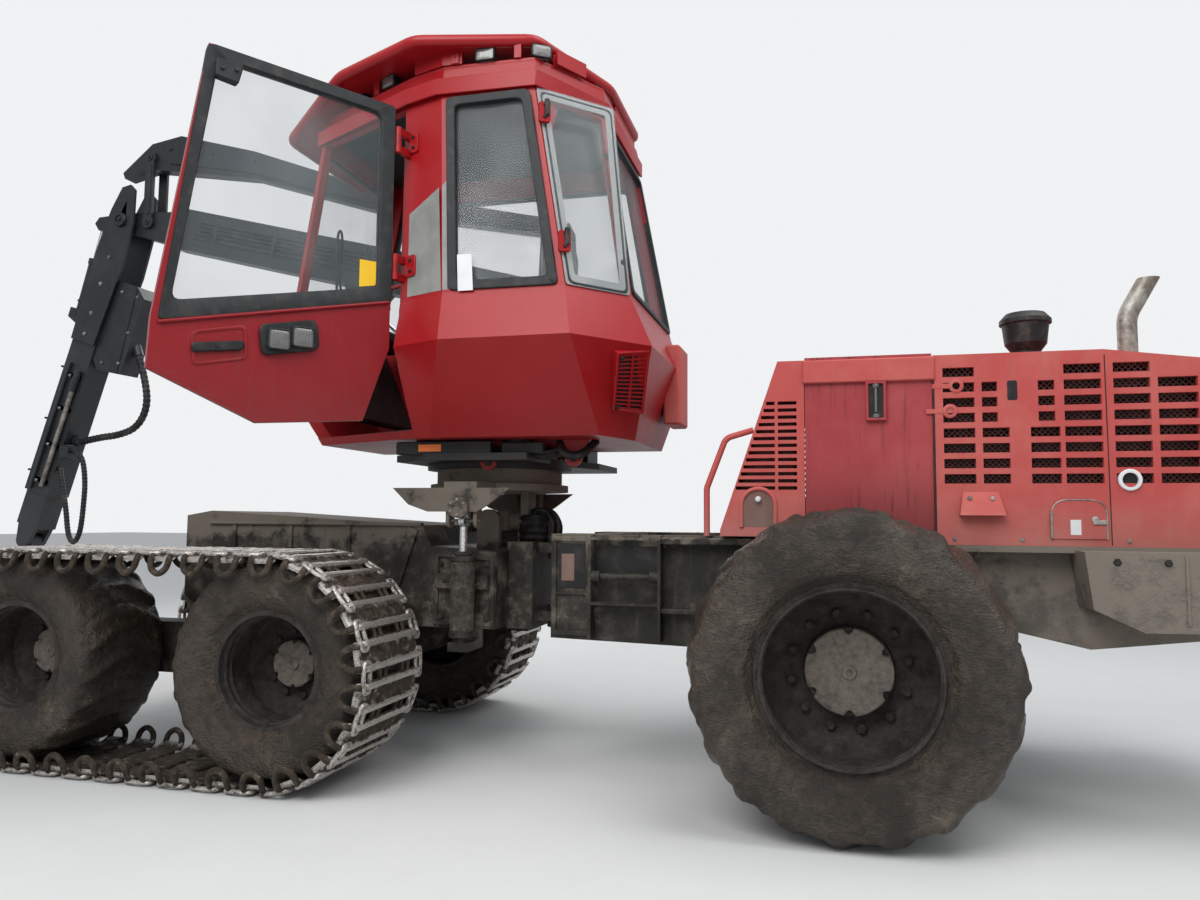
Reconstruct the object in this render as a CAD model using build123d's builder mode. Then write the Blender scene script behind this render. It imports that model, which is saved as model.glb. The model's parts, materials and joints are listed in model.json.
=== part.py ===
"""Six-wheeled forestry harvester with a levelling, slewing cab and a parallel crane.

Frame: X forward, Y to the machine's left, Z up. The origin is on the ground under the
middle of the rear axle. All sizes are in millimetres.
"""

from build123d import *
from math import atan2, cos, degrees, hypot, pi, radians, sin, tan
import os

os.makedirs("parts", exist_ok=True)

# Running gaps
PIN_GAP = 0.3
SEAT_GAP = 0.3
SLIDE_GAP = 0.4

# Wheels and axles
TYRE_OUTER_Y = 1330
TYRE_WIDTH = 600
TYRE_MID_Y = TYRE_OUTER_Y - TYRE_WIDTH / 2
REAR_TYRE_R = 718
REAR_RIM_R = 396
BOGIE_TYRE_R = 575
BOGIE_RIM_R = 292
TRACK_THICKNESS = 36
TRACK_BAND = 12
TRACK_SHOES = 34
BOGIE_X = 3660
BOGIE_SPACING = 1600
BOGIE_Z = BOGIE_TYRE_R + TRACK_THICKNESS
REAR_AXLE_Z = REAR_TYRE_R
STUB_R = 70

# Rear chassis
STEER_X = 1650
STEER_PIN_R = 45
STEER_EAR_R = 120
FRAME_HALF = 600
FRAME_TOP = 1312
FRAME_BOTTOM = 730
FRAME_FLOOR = 960
FRAME_FRONT = STEER_X - 90
FRAME_WALL = 40
FRAME_REAR = -2150
HOOD_HALF = 705
HOOD_TOP = 2205
HOOD_BOTTOM = 1283
HOOD_WALL = 30
TANK_FRONT = 195
TANK_REAR = -412

# Front chassis
NECK_HALF = 220
FRONT_FRAME_HALF = 430
TILT_X = 2100
TILT_Z = 1380
TILT_EAR_R = 70
TILT_PIN_R = 38
CYLINDER_Y = 560
CYLINDER_ROD_R = 22
FORK_GAP = 74
FORK_PIN_R = 10
NECK_TOP = 1255
HITCH_X = 4060

# Upper structure
PLATFORM_Z = 1560
TABLE_Z = 1690
CRANE_Y = -750
BOOM_FOOT = (1980, 2940)
BOOM_TIP = (5473, 3795)
LINK_RISE = 540
KNEE = (5690, 3812)
OUTER_ANGLE = 71.7
TIP_DISTANCE = 2760

WALL = 45


def side_plate(points, y, width, mode=Mode.ADD):
    """A plate drawn from the side (X, Z), its middle at y."""
    with BuildSketch(Plane.XZ.offset(-y)) as profile:
        with BuildLine():
            Polyline(*points, close=True)
        make_face()
    extrude(profile.sketch, amount=width / 2, both=True, mode=mode)


def plan_plate(points, z, height, mode=Mode.ADD):
    """A plate drawn from above (X, Y), from z upwards."""
    with BuildSketch(Plane.XY.offset(z)) as profile:
        with BuildLine():
            Polyline(*points, close=True)
        make_face()
    extrude(profile.sketch, amount=height, mode=mode)


def block(x0, x1, y0, y1, z0, z1, mode=Mode.ADD):
    """A box between two corners."""
    plan_plate([(x0, y0), (x1, y0), (x1, y1), (x0, y1)], z0, z1 - z0, mode)


def bar(start, end, radius, mode=Mode.ADD):
    """A round bar from one point to another."""
    start, end = Vector(start), Vector(end)
    with BuildSketch(Plane(start, z_dir=end - start)) as profile:
        Circle(radius)
    extrude(profile.sketch, amount=(end - start).length, mode=mode)


def cross_bar(x, z, y, radius, width, mode=Mode.ADD):
    """A round bar along Y, its middle at y."""
    bar((x, y - width / 2, z), (x, y + width / 2, z), radius, mode)


def turned(x, z, points, mode=Mode.ADD):
    """A turned piece about the line along Y through (x, z), from (y, radius) points."""
    with BuildSketch(Plane((x, 0, z), x_dir=(0, 1, 0), z_dir=(1, 0, 0))) as profile:
        with BuildLine():
            Polyline(*points, close=True)
        make_face()
    revolve(profile.sketch, axis=Axis((x, 0, z), (0, 1, 0)), mode=mode)


def tyre(x, z, side, radius, rim_radius):
    """A tyre with round sidewalls, its beads on the rim."""
    mid = side * TYRE_MID_Y
    half = TYRE_WIDTH / 2
    bead = half - 70
    with BuildSketch(Plane((x, 0, z), x_dir=(0, 1, 0), z_dir=(1, 0, 0))) as profile:
        with BuildLine():
            Line((mid - bead, rim_radius), (mid + bead, rim_radius))
            Line((mid + bead, rim_radius), (mid + bead, rim_radius + 26))
            ThreePointArc(
                (mid + bead, rim_radius + 26),
                (mid + half, (rim_radius + radius) / 2 + 10),
                (mid + half - 18, radius - 60),
            )
            Line((mid + half - 18, radius - 60), (mid + half - 70, radius))
            Line((mid + half - 70, radius), (mid - half + 70, radius))
            Line((mid - half + 70, radius), (mid - half + 18, radius - 60))
            ThreePointArc(
                (mid - half + 18, radius - 60),
                (mid - half, (rim_radius + radius) / 2 + 10),
                (mid - bead, rim_radius + 26),
            )
            Line((mid - bead, rim_radius + 26), (mid - bead, rim_radius))
        make_face()
    revolve(profile.sketch, axis=Axis((x, 0, z), (0, 1, 0)))


def rim(x, z, side, rim_radius, disc_y, hub_radius, hub_y, bore_y):
    """A rim barrel with its flanges, a disc and a hub bored for the axle's stub."""
    mid = side * TYRE_MID_Y
    bead = TYRE_WIDTH / 2 - 70
    inner, outer = mid - side * bead, mid + side * bead
    flange = side * 12
    disc = side * disc_y
    hub = side * hub_y
    bore = side * bore_y
    turned(x, z, [
        (inner - flange, rim_radius - 12), (inner - flange, rim_radius + 22), (inner, rim_radius + 22),
        (inner, rim_radius), (outer, rim_radius), (outer, rim_radius + 22),
        (outer + flange, rim_radius + 22), (outer + flange, rim_radius - 12),
        (disc + side * 60, rim_radius - 14), (disc + side * 8, hub_radius + 60),
        (disc + side * 8, hub_radius), (hub, hub_radius - 10), (hub, 0),
        (bore, 0), (bore, STUB_R + PIN_GAP), (disc - side * 110, STUB_R + PIN_GAP),
        (disc - side * 110, hub_radius - 20), (disc - side * 8, hub_radius - 10),
        (disc - side * 8, hub_radius + 60), (disc + side * 44, rim_radius - 30),
        (disc + side * 20, rim_radius - 12),
    ])


# Rear wheels
SIDES = {"left": 1, "right": -1}
REAR_DISC_Y = 1000
REAR_HUB_R = 205
REAR_HUB_Y = 1062
REAR_BORE_Y = 960
for name, side in SIDES.items():
    with BuildPart() as rear_tyre:
        tyre(0, REAR_AXLE_Z, side, REAR_TYRE_R, REAR_RIM_R)
    rear_tyre.part.label = f"rear_tyre_{name}"
    export_step(rear_tyre.part, f"parts/rear_tyre_{name}.step")

    with BuildPart() as rear_rim:
        rim(0, REAR_AXLE_Z, side, REAR_RIM_R, REAR_DISC_Y, REAR_HUB_R, REAR_HUB_Y, REAR_BORE_Y)
    rear_rim.part.label = f"rear_rim_{name}"
    export_step(rear_rim.part, f"parts/rear_rim_{name}.step")

# Bogie wheels
BOGIE_DISC_Y = 960
BOGIE_HUB_R = 130
BOGIE_HUB_Y = 1010
BOGIE_BORE_Y = 940
BOGIE_WHEELS = [BOGIE_X - BOGIE_SPACING / 2, BOGIE_X + BOGIE_SPACING / 2]
with BuildPart() as bogie_tyres:
    for side in SIDES.values():
        for x in BOGIE_WHEELS:
            tyre(x, BOGIE_Z, side, BOGIE_TYRE_R, BOGIE_RIM_R)
bogie_tyres.part.label = "bogie_tyres"
export_step(bogie_tyres.part, "parts/bogie_tyres.step")

with BuildPart() as bogie_rims:
    for side in SIDES.values():
        for x in BOGIE_WHEELS:
            rim(x, BOGIE_Z, side, BOGIE_RIM_R, BOGIE_DISC_Y, BOGIE_HUB_R, BOGIE_HUB_Y, BOGIE_BORE_Y)
bogie_rims.part.label = "bogie_rims"
export_step(bogie_rims.part, "parts/bogie_rims.step")


def loop_point(distance, radius):
    """A point on the loop round both bogie wheels, by the distance run at the tyres' surface."""
    arc = pi * BOGIE_TYRE_R
    lap = 2 * (BOGIE_SPACING + arc)
    distance %= lap
    front, rear = BOGIE_WHEELS[1], BOGIE_WHEELS[0]
    if distance < BOGIE_SPACING:
        return rear + distance, BOGIE_Z + radius
    distance -= BOGIE_SPACING
    if distance < arc:
        turn = distance / BOGIE_TYRE_R
        return front + radius * sin(turn), BOGIE_Z + radius * cos(turn)
    distance -= arc
    if distance < BOGIE_SPACING:
        return front - distance, BOGIE_Z - radius
    turn = (distance - BOGIE_SPACING) / BOGIE_TYRE_R
    return rear - radius * sin(turn), BOGIE_Z - radius * cos(turn)


# A shoe's outline, as (share of the pitch, height above the tyre)
SHOE_VALLEY = 24
SHOE_OUTLINE = [(0.0, TRACK_BAND), (0.18, TRACK_BAND), (0.22, TRACK_THICKNESS), (0.34, TRACK_THICKNESS),
                (0.38, SHOE_VALLEY), (0.60, SHOE_VALLEY), (0.64, TRACK_THICKNESS), (0.76, TRACK_THICKNESS),
                (0.80, TRACK_BAND)]
for name, side in SIDES.items():
    pitch = 2 * (BOGIE_SPACING + pi * BOGIE_TYRE_R) / TRACK_SHOES
    outline = [
        loop_point((shoe + share) * pitch, BOGIE_TYRE_R + height)
        for shoe in range(TRACK_SHOES)
        for share, height in SHOE_OUTLINE
    ]
    with BuildPart() as track:
        side_plate(outline, side * TYRE_MID_Y, TYRE_WIDTH + 20)
        with BuildSketch(Plane.XZ.offset(-side * TYRE_MID_Y)) as inside:
            with Locations((BOGIE_X, BOGIE_Z)):
                SlotCenterToCenter(BOGIE_SPACING, 2 * (BOGIE_TYRE_R + SEAT_GAP))
        extrude(inside.sketch, amount=TYRE_WIDTH, both=True, mode=Mode.SUBTRACT)
    track.part.label = f"track_{name}"
    export_step(track.part, f"parts/track_{name}.step")

# Rear axle
with BuildPart() as rear_axle:
    cross_bar(0, REAR_AXLE_Z, 0, 130, 1360)
    cross_bar(0, REAR_AXLE_Z, 0, 205, 420)
    cross_bar(0, REAR_AXLE_Z, 0, 160, 1560)
    cross_bar(0, REAR_AXLE_Z, 0, STUB_R, 2 * (REAR_BORE_Y - 10))
    block(-170, 170, -560, -430, REAR_AXLE_Z, FRAME_BOTTOM + 200)
    block(-170, 170, 430, 560, REAR_AXLE_Z, FRAME_BOTTOM + 200)
rear_axle.part.label = "rear_axle"
export_step(rear_axle.part, "parts/rear_axle.step")

# Rear frame
EARS = [(1150, 1190), (1250, 1290), (742, 782), (840, 880)]
TONGUES = [(1190 + PIN_GAP, 1250 - PIN_GAP), (782 + PIN_GAP, 840 - PIN_GAP)]
with BuildPart() as rear_frame:
    profile = [(FRAME_FRONT, FRAME_BOTTOM + 20), (FRAME_FRONT, FRAME_TOP), (FRAME_REAR, FRAME_TOP),
               (FRAME_REAR, 930), (-1900, 900), (-1100, 800), (-500, 930), (500, 930), (700, FRAME_BOTTOM)]
    side_plate(profile, 0, 2 * FRAME_HALF)
    inner = [(FRAME_FRONT - 300, 790), (FRAME_FRONT - 300, 1500), (FRAME_REAR + 60, 1500),
             (FRAME_REAR + 60, FRAME_FLOOR), (480, FRAME_FLOOR), (740, 790)]
    side_plate(inner, 0, 2 * (FRAME_HALF - FRAME_WALL), Mode.SUBTRACT)
    block(FRAME_FRONT - 160, FRAME_FRONT + 10, -300, 300, 0, 2000, Mode.SUBTRACT)
    for low, high in EARS:
        block(FRAME_FRONT - 250, STEER_X, -STEER_EAR_R, STEER_EAR_R, low, high)
        bar((STEER_X, 0, low), (STEER_X, 0, high), STEER_EAR_R)
    bar((STEER_X, 0, 742), (STEER_X, 0, 880), STEER_PIN_R)
    bar((STEER_X, 0, 1150), (STEER_X, 0, 1290), STEER_PIN_R)
    for side in SIDES.values():
        y0, y1 = sorted((side * FRAME_HALF, side * (FRAME_HALF + 90)))
        for x in (945, 1320):
            block(x - 8, x + 8, y0, y1, 760, FRAME_TOP)
        for z in (FRAME_TOP - 14, 955):
            for step in range(3):
                y = side * (FRAME_HALF + 20 + 32 * step)
                block(945, 1320, y - 5, y + 5, z - 14, z)
        bar((945, side * (FRAME_HALF + 60), 1090), (1320, side * (FRAME_HALF + 60), 1090), 18)
        y0, y1 = sorted((side * (FRAME_HALF - 5), side * 880))
        side_plate([(-1020, 1265), (-2100, 1265), (-2100, 930), (-1250, 915), (-1050, 1010)],
                   (y0 + y1) / 2, y1 - y0)
        block(-2150, 500, *sorted((side * (FRAME_HALF - 5), side * 715)), HOOD_BOTTOM - 30, HOOD_BOTTOM - SEAT_GAP)
    side_plate([(FRAME_REAR + 5, 900), (FRAME_REAR - 60, 950), (FRAME_REAR - 60, 1260),
                (FRAME_REAR + 5, 1300)], 0, 1290)
    for side in SIDES.values():
        side_plate([(FRAME_REAR - 50, 960), (FRAME_REAR - 170, 990), (FRAME_REAR - 170, 1090),
                    (FRAME_REAR - 50, 1120)], side * 70, 40)
    cross_bar(FRAME_REAR - 115, 1040, 0, 25, 300, Mode.SUBTRACT)
rear_frame.part.label = "rear_frame"
export_step(rear_frame.part, "parts/rear_frame.step")

# Engine, a plain block on the frame's floor
with BuildPart() as engine_block:
    block(-1900, -900, -330, 330, FRAME_FLOOR + SEAT_GAP, 1880)
engine_block.part.label = "engine_block"
export_step(engine_block.part, "parts/engine_block.step")

# Hood with slots: (rear X, front X, first row, last row)
SLOT_COLUMNS = [(-604, -461, 0, 7), (-706, -637, 1, 3), (-757, -637, 4, 7), (-957, -885, 1, 3),
                (-977, -849, 4, 7), (-1156, -997, 0, 7), (-1360, -1207, 0, 7), (-1554, -1391, 1, 7)]
SLOT_TOP = 2118
SLOT_PITCH = 74
SLOT_HEIGHT = 46
HOOD_REAR = -2190
with BuildPart() as hood:
    hood_profile = [(TANK_REAR - 3, HOOD_BOTTOM), (TANK_REAR - 3, HOOD_TOP), (-1170, HOOD_TOP),
                    (-1570, 2150), (-2080, 2000), (HOOD_REAR, 1870), (HOOD_REAR, HOOD_BOTTOM)]
    side_plate(hood_profile, 0, 2 * HOOD_HALF)
    hood_inner = [(TANK_REAR + 30, HOOD_BOTTOM - 10), (TANK_REAR + 30, HOOD_TOP - HOOD_WALL),
                  (-1165, HOOD_TOP - HOOD_WALL), (-1565, 2150 - HOOD_WALL), (-2065, 1972),
                  (HOOD_REAR + HOOD_WALL, 1858), (HOOD_REAR + HOOD_WALL, HOOD_BOTTOM - 10)]
    side_plate(hood_inner, 0, 2 * (HOOD_HALF - HOOD_WALL), Mode.SUBTRACT)
    block(HOOD_REAR - 10, 0, -660, 660, HOOD_BOTTOM - 10, FRAME_TOP + SEAT_GAP, Mode.SUBTRACT)
    for x0, x1, first, last in SLOT_COLUMNS:
        for row in range(first, last + 1):
            z = SLOT_TOP - SLOT_PITCH * row
            block(x0, x1, -HOOD_HALF - 20, HOOD_HALF + 20, z - SLOT_HEIGHT / 2, z + SLOT_HEIGHT / 2,
                  Mode.SUBTRACT)
hood.part.label = "hood"
export_step(hood.part, "parts/hood.step")

# Filler flap on the left side panel
FLAP_FRONT, FLAP_REAR, FLAP_TOP, FLAP_BOTTOM = -925, -1160, 1500, 1315
FLAP_HINGE_R = 6
with BuildPart() as filler_flap:
    block(FLAP_REAR, FLAP_FRONT, HOOD_HALF + SEAT_GAP, HOOD_HALF + SEAT_GAP + FLAP_HINGE_R, FLAP_BOTTOM, FLAP_TOP)
    bar((FLAP_FRONT, HOOD_HALF + SEAT_GAP + FLAP_HINGE_R, FLAP_BOTTOM),
        (FLAP_FRONT, HOOD_HALF + SEAT_GAP + FLAP_HINGE_R, FLAP_TOP), FLAP_HINGE_R)
filler_flap.part.label = "filler_flap"
export_step(filler_flap.part, "parts/filler_flap.step")

# Hydraulic tank
with BuildPart() as hydraulic_tank:
    block(TANK_REAR, TANK_FRONT, -HOOD_HALF + 10, HOOD_HALF - 10, FRAME_TOP + SEAT_GAP, HOOD_TOP + 12)
hydraulic_tank.part.label = "hydraulic_tank"
export_step(hydraulic_tank.part, "parts/hydraulic_tank.step")

# Front cowl with louvres
LOUVRE_ROWS = 13
with BuildPart() as front_cowl:
    cowl_profile = [(TANK_FRONT + 3, FRAME_TOP + SEAT_GAP), (TANK_FRONT + 3, HOOD_TOP), (330, HOOD_TOP),
                    (625, HOOD_BOTTOM + 60), (625, FRAME_TOP + SEAT_GAP)]
    side_plate(cowl_profile, 0, 2 * HOOD_HALF - 20)
    cowl_inner = [(TANK_FRONT - 10, HOOD_BOTTOM - 10), (TANK_FRONT - 10, HOOD_TOP - 30), (310, HOOD_TOP - 30),
                  (590, HOOD_BOTTOM + 60), (590, HOOD_BOTTOM - 10)]
    side_plate(cowl_inner, 0, 2 * HOOD_HALF - 80, Mode.SUBTRACT)
    for row in range(LOUVRE_ROWS):
        z = 1990 - 36 * row
        block(236, 330, -HOOD_HALF - 5, HOOD_HALF + 5, z - 9, z + 9, Mode.SUBTRACT)
        block(345, 388 + 13 * row, -HOOD_HALF - 5, HOOD_HALF + 5, z - 9, z + 9, Mode.SUBTRACT)
front_cowl.part.label = "front_cowl"
export_step(front_cowl.part, "parts/front_cowl.step")

# Air pre-cleaner: a turned bowl on a neck
CLEANER = (-905, 350)
with BuildPart() as air_precleaner:
    with BuildSketch(Plane(origin=(CLEANER[0], CLEANER[1], HOOD_TOP + SEAT_GAP), z_dir=(0, -1, 0),
                           x_dir=(1, 0, 0))) as bowl:
        with BuildLine():
            Polyline((0, 0), (70, 0), (70, 60), (100, 100), (112, 200), (124, 205), (124, 225),
                     (95, 258), (0, 272), close=True)
        make_face()
    revolve(bowl.sketch, axis=Axis((CLEANER[0], CLEANER[1], 0), (0, 0, 1)))
air_precleaner.part.label = "air_precleaner"
export_step(air_precleaner.part, "parts/air_precleaner.step")

# Exhaust stack with a slanted mouth
EXHAUST_FOOT = 2182
with BuildPart() as exhaust_stack:
    with BuildLine(Plane.XZ.offset(-300)) as route:
        FilletPolyline((-1388, EXHAUST_FOOT), (-1388, 2440), (-1520, 2680), radius=180)
    with BuildSketch(Plane(origin=route.wire() @ 0, z_dir=route.wire() % 0)):
        Circle(46)
    sweep(path=route.wire())
    block(-1800, -1000, 200, 400, 2630, 2900, Mode.SUBTRACT)
exhaust_stack.part.label = "exhaust_stack"
export_step(exhaust_stack.part, "parts/exhaust_stack.step")

# Grab rails in front of the cowl
with BuildPart() as grab_rails:
    for side in SIDES.values():
        with BuildLine(Plane.XZ.offset(-side * 640)) as route:
            FilletPolyline((700, FRAME_TOP + SEAT_GAP), (700, 1560), (600, 1820), (458, 1860), radius=60)
        with BuildSketch(Plane(origin=route.wire() @ 0, z_dir=route.wire() % 0)) as ring:
            Circle(16)
        sweep(ring.sketch, path=route.wire())
grab_rails.part.label = "grab_rails"
export_step(grab_rails.part, "parts/grab_rails.step")

# Front frame
with BuildPart() as front_frame:
    side_plate([(1950, 760), (1950, 1200), (2360, 1230), (2420, 1350), (3880, 1430), (HITCH_X, 1400),
                (HITCH_X, 900), (3950, 820), (3880, 760)], 0, 2 * FRONT_FRAME_HALF)
    side_plate([(1800, 742), (1800, NECK_TOP), (1960, NECK_TOP), (1960, 742)], 0, 2 * NECK_HALF)
    for low, high in TONGUES:
        block(STEER_X, 1810, -STEER_EAR_R, STEER_EAR_R, low, high)
        bar((STEER_X, 0, low), (STEER_X, 0, high), STEER_EAR_R)
    bar((STEER_X, 0, 700), (STEER_X, 0, 1340), STEER_PIN_R + PIN_GAP, Mode.SUBTRACT)
    for side in SIDES.values():
        side_plate([(TILT_X - 70, 1150), (TILT_X - 70, TILT_Z), (TILT_X + 70, TILT_Z), (TILT_X + 70, 1150)],
                   side * 170, 50)
        cross_bar(TILT_X, TILT_Z, side * 170, TILT_EAR_R, 50)
        cross_bar(TILT_X, TILT_Z, side * 170, TILT_PIN_R + PIN_GAP, 60, Mode.SUBTRACT)
        block(TILT_X - 60, TILT_X + 60, *sorted((side * 390, side * 615)), 650, 700)
        block(TILT_X - 60, TILT_X + 60, *sorted((side * 390, side * 429)), 650, 780)
front_frame.part.label = "front_frame"
export_step(front_frame.part, "parts/front_frame.step")

# Towing jaw on the front frame: two plates bored for an upright pin
JAW_LEVELS = (960, 1040)
JAW_PLATE = 30
with BuildPart() as front_hitch:
    block(HITCH_X + SEAT_GAP, HITCH_X + 22, -100, 100, JAW_LEVELS[0] - 30, JAW_LEVELS[1] + 60)
    for level in JAW_LEVELS:
        plan_plate([(HITCH_X + 20, -80), (HITCH_X + 130, -55), (HITCH_X + 130, 55), (HITCH_X + 20, 80)],
                   level, JAW_PLATE)
    bar((HITCH_X + 75, 0, JAW_LEVELS[0] - 10), (HITCH_X + 75, 0, JAW_LEVELS[1] + JAW_PLATE + 10), 25,
        Mode.SUBTRACT)
front_hitch.part.label = "front_hitch"
export_step(front_hitch.part, "parts/front_hitch.step")

# Bogie axle: housing, beams and stubs
with BuildPart() as bogie_axle:
    cross_bar(BOGIE_X, BOGIE_Z, 0, 120, 1100)
    block(BOGIE_X - 210, BOGIE_X + 210, -340, 340, BOGIE_Z - 60, 760 - SEAT_GAP)
    for side in SIDES.values():
        with BuildSketch(Plane.XZ.offset(-side * 610)) as beam:
            with Locations((BOGIE_X, BOGIE_Z)):
                SlotCenterToCenter(BOGIE_SPACING, 300)
        extrude(beam.sketch, amount=85, both=True)
        for x in BOGIE_WHEELS:
            y0, y1 = sorted((side * 690, side * (BOGIE_BORE_Y - 10)))
            cross_bar(x, BOGIE_Z, (y0 + y1) / 2, STUB_R, y1 - y0)
bogie_axle.part.label = "bogie_axle"
export_step(bogie_axle.part, "parts/bogie_axle.step")

# Levelling cross
with BuildPart() as tilt_cross:
    block(TILT_X - 85, TILT_X + 85, -85, 85, TILT_Z - 60, TILT_Z + 60)
    cross_bar(TILT_X, TILT_Z, 0, TILT_PIN_R, 390)
    cross_bar(TILT_X, TILT_Z, 0, 60, 290 - 2 * PIN_GAP)
    bar((TILT_X - 215, 0, TILT_Z), (TILT_X + 215, 0, TILT_Z), TILT_PIN_R)
    bar((TILT_X - 165 + PIN_GAP, 0, TILT_Z), (TILT_X + 165 - PIN_GAP, 0, TILT_Z), 60)
tilt_cross.part.label = "tilt_cross"
export_step(tilt_cross.part, "parts/tilt_cross.step")

# Levelling platform
with BuildPart() as tilt_platform:
    bar((TILT_X, 0, PLATFORM_Z), (TILT_X, 0, PLATFORM_Z + 40), 430)
    bar((TILT_X, 0, PLATFORM_Z + 40), (TILT_X, 0, TABLE_Z - PIN_GAP), 390)
    arm = FORK_GAP + 26
    plan_plate([(TILT_X - arm, -620), (TILT_X + arm, -620), (TILT_X + 200, 0), (TILT_X + arm, 620),
                (TILT_X - arm, 620), (TILT_X - 200, 0)], PLATFORM_Z, 40)
    for end in (-1, 1):
        x0, x1 = sorted((TILT_X + end * 165, TILT_X + end * 215))
        block(x0, x1, -70, 70, TILT_Z, PLATFORM_Z + 10)
        bar((x0, 0, TILT_Z), (x1, 0, TILT_Z), TILT_EAR_R)
        bar((x0 - 5, 0, TILT_Z), (x1 + 5, 0, TILT_Z), TILT_PIN_R + PIN_GAP, Mode.SUBTRACT)
        for side in SIDES.values():
            x0, x1 = sorted((TILT_X + end * FORK_GAP, TILT_X + end * (FORK_GAP + 20)))
            block(x0, x1, side * CYLINDER_Y - 40, side * CYLINDER_Y + 40, TILT_Z, PLATFORM_Z + 10)
            bar((x0, side * CYLINDER_Y, TILT_Z), (x1, side * CYLINDER_Y, TILT_Z), 40)
    for side in SIDES.values():
        bar((TILT_X - FORK_GAP - 30, side * CYLINDER_Y, TILT_Z), (TILT_X + FORK_GAP + 30, side * CYLINDER_Y, TILT_Z),
            FORK_PIN_R)
tilt_platform.part.label = "tilt_platform"
export_step(tilt_platform.part, "parts/tilt_platform.step")

# Levelling cylinders
with BuildPart() as tilt_barrels:
    for side in SIDES.values():
        bar((TILT_X, side * CYLINDER_Y, 700), (TILT_X, side * CYLINDER_Y, 1180), 50)
        bar((TILT_X, side * CYLINDER_Y, 760), (TILT_X, side * CYLINDER_Y, 1190), CYLINDER_ROD_R + PIN_GAP,
            Mode.SUBTRACT)
tilt_barrels.part.label = "tilt_barrels"
export_step(tilt_barrels.part, "parts/tilt_barrels.step")
for name, side in SIDES.items():
    with BuildPart() as tilt_rod:
        bar((TILT_X, side * CYLINDER_Y, 940), (TILT_X, side * CYLINDER_Y, TILT_Z - 30), CYLINDER_ROD_R)
        bar((TILT_X - 16, side * CYLINDER_Y, TILT_Z), (TILT_X + 16, side * CYLINDER_Y, TILT_Z), 40)
        bar((TILT_X - 30, side * CYLINDER_Y, TILT_Z), (TILT_X + 30, side * CYLINDER_Y, TILT_Z), FORK_PIN_R + 17,
            Mode.SUBTRACT)
    tilt_rod.part.label = f"tilt_rod_{name}"
    export_step(tilt_rod.part, f"parts/tilt_rod_{name}.step")

# Slewing table with the crane's pillar
LIFT_FOOT = (2330, 1990)
PILLAR_HALF = 130
CAB_FLOOR_Z = 1840
CAB_FEET = [(1800, -300), (1800, 500), (2450, -300), (2400, 440)]
with BuildPart() as slew_table:
    bar((TILT_X, 0, TABLE_Z), (TILT_X, 0, TABLE_Z + 60), 450)
    plan_plate([(1700, 0), (1560, -400), (1560, -900), (2480, -900), (2560, -400), (2560, 500),
                (2300, 640), (1700, 640)], TABLE_Z + 30, 40)
    for end in (-1, 1):
        y = CRANE_Y + end * (PILLAR_HALF - 20)
        side_plate([(1700, TABLE_Z + 60), (2440, TABLE_Z + 60), (2420, 2020), (2250, 2080), (2080, 3000),
                    (2060, 3480), (2040, 3560), (1920, 3560), (1880, 3480), (1860, 2900), (1700, 2000)],
                   y, 40)
    side_plate([(1700, TABLE_Z + 60), (1760, TABLE_Z + 60), (1780, 2000), (1920, 2780), (1860, 2780),
                (1700, 2000)], CRANE_Y, 2 * PILLAR_HALF - 40)
    for x, z in (BOOM_FOOT, (BOOM_FOOT[0], BOOM_FOOT[1] + LINK_RISE), LIFT_FOOT):
        cross_bar(x, z, CRANE_Y, 32, 2 * PILLAR_HALF)
    for x, y in CAB_FEET:
        bar((x, y, TABLE_Z + 60), (x, y, CAB_FLOOR_Z - SEAT_GAP), 60)
slew_table.part.label = "slew_table"
export_step(slew_table.part, "parts/slew_table.step")

# Cab: outlines from above, clockwise from the rear right corner
CAB_RIGHT = -450
#      (height, corners as (X, Y))
CAB_SECTIONS = {
    "floor": (CAB_FLOOR_Z, [(1150, CAB_RIGHT), (1150, 350), (1262, 720), (2230, 750), (2400, 690), (3150, 360),
                     (3150, CAB_RIGHT)]),
    "crease": (2310, [(980, CAB_RIGHT), (980, 710), (1310, 1130), (2020, 1130), (2310, 1000), (3380, 520),
                      (3380, CAB_RIGHT)]),
    "belt": (2570, [(1090, CAB_RIGHT), (1090, 735), (1360, 1050), (2030, 1060), (2310, 935), (3330, 474),
                    (3330, CAB_RIGHT)]),
    "header": (3700, [(1310, CAB_RIGHT), (1310, 470), (1580, 930), (2110, 950), (2330, 880), (3120, 510),
                      (3120, CAB_RIGHT)]),
    "roof": (3860, [(1320, CAB_RIGHT), (1320, 460), (1590, 905), (2110, 925), (2330, 860), (3100, 500),
                    (3100, CAB_RIGHT)]),
}


def inset(points, distance):
    """The outline moved inwards by a distance, its corners kept sharp."""
    count = len(points)
    moved = []
    for i in range(count):
        (x0, y0), (x1, y1), (x2, y2) = points[i - 1], points[i], points[(i + 1) % count]
        a, b = Vector(x1 - x0, y1 - y0).normalized(), Vector(x2 - x1, y2 - y1).normalized()
        na, nb = Vector(a.Y, -a.X), Vector(b.Y, -b.X)
        bisector = (na + nb).normalized()
        reach = distance / bisector.dot(na)
        moved.append((x1 + bisector.X * reach, y1 + bisector.Y * reach))
    return moved


def cab_shell(lower, upper, thickness=0.0, low_cut=0.0, high_cut=0.0, mode=Mode.ADD):
    """The loft between two of the cab's outlines, moved inwards by a thickness."""
    z0, points0 = CAB_SECTIONS[lower]
    z1, points1 = CAB_SECTIONS[upper]
    faces = []
    for z, points in ((z0 + low_cut, points0), (z1 + high_cut, points1)):
        with BuildSketch(Plane.XY.offset(z)) as section:
            with BuildLine():
                Polyline(*(inset(points, thickness) if thickness else points), close=True)
            make_face()
        faces.append(section.sketch)
    loft(faces, ruled=True, mode=mode)


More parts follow.
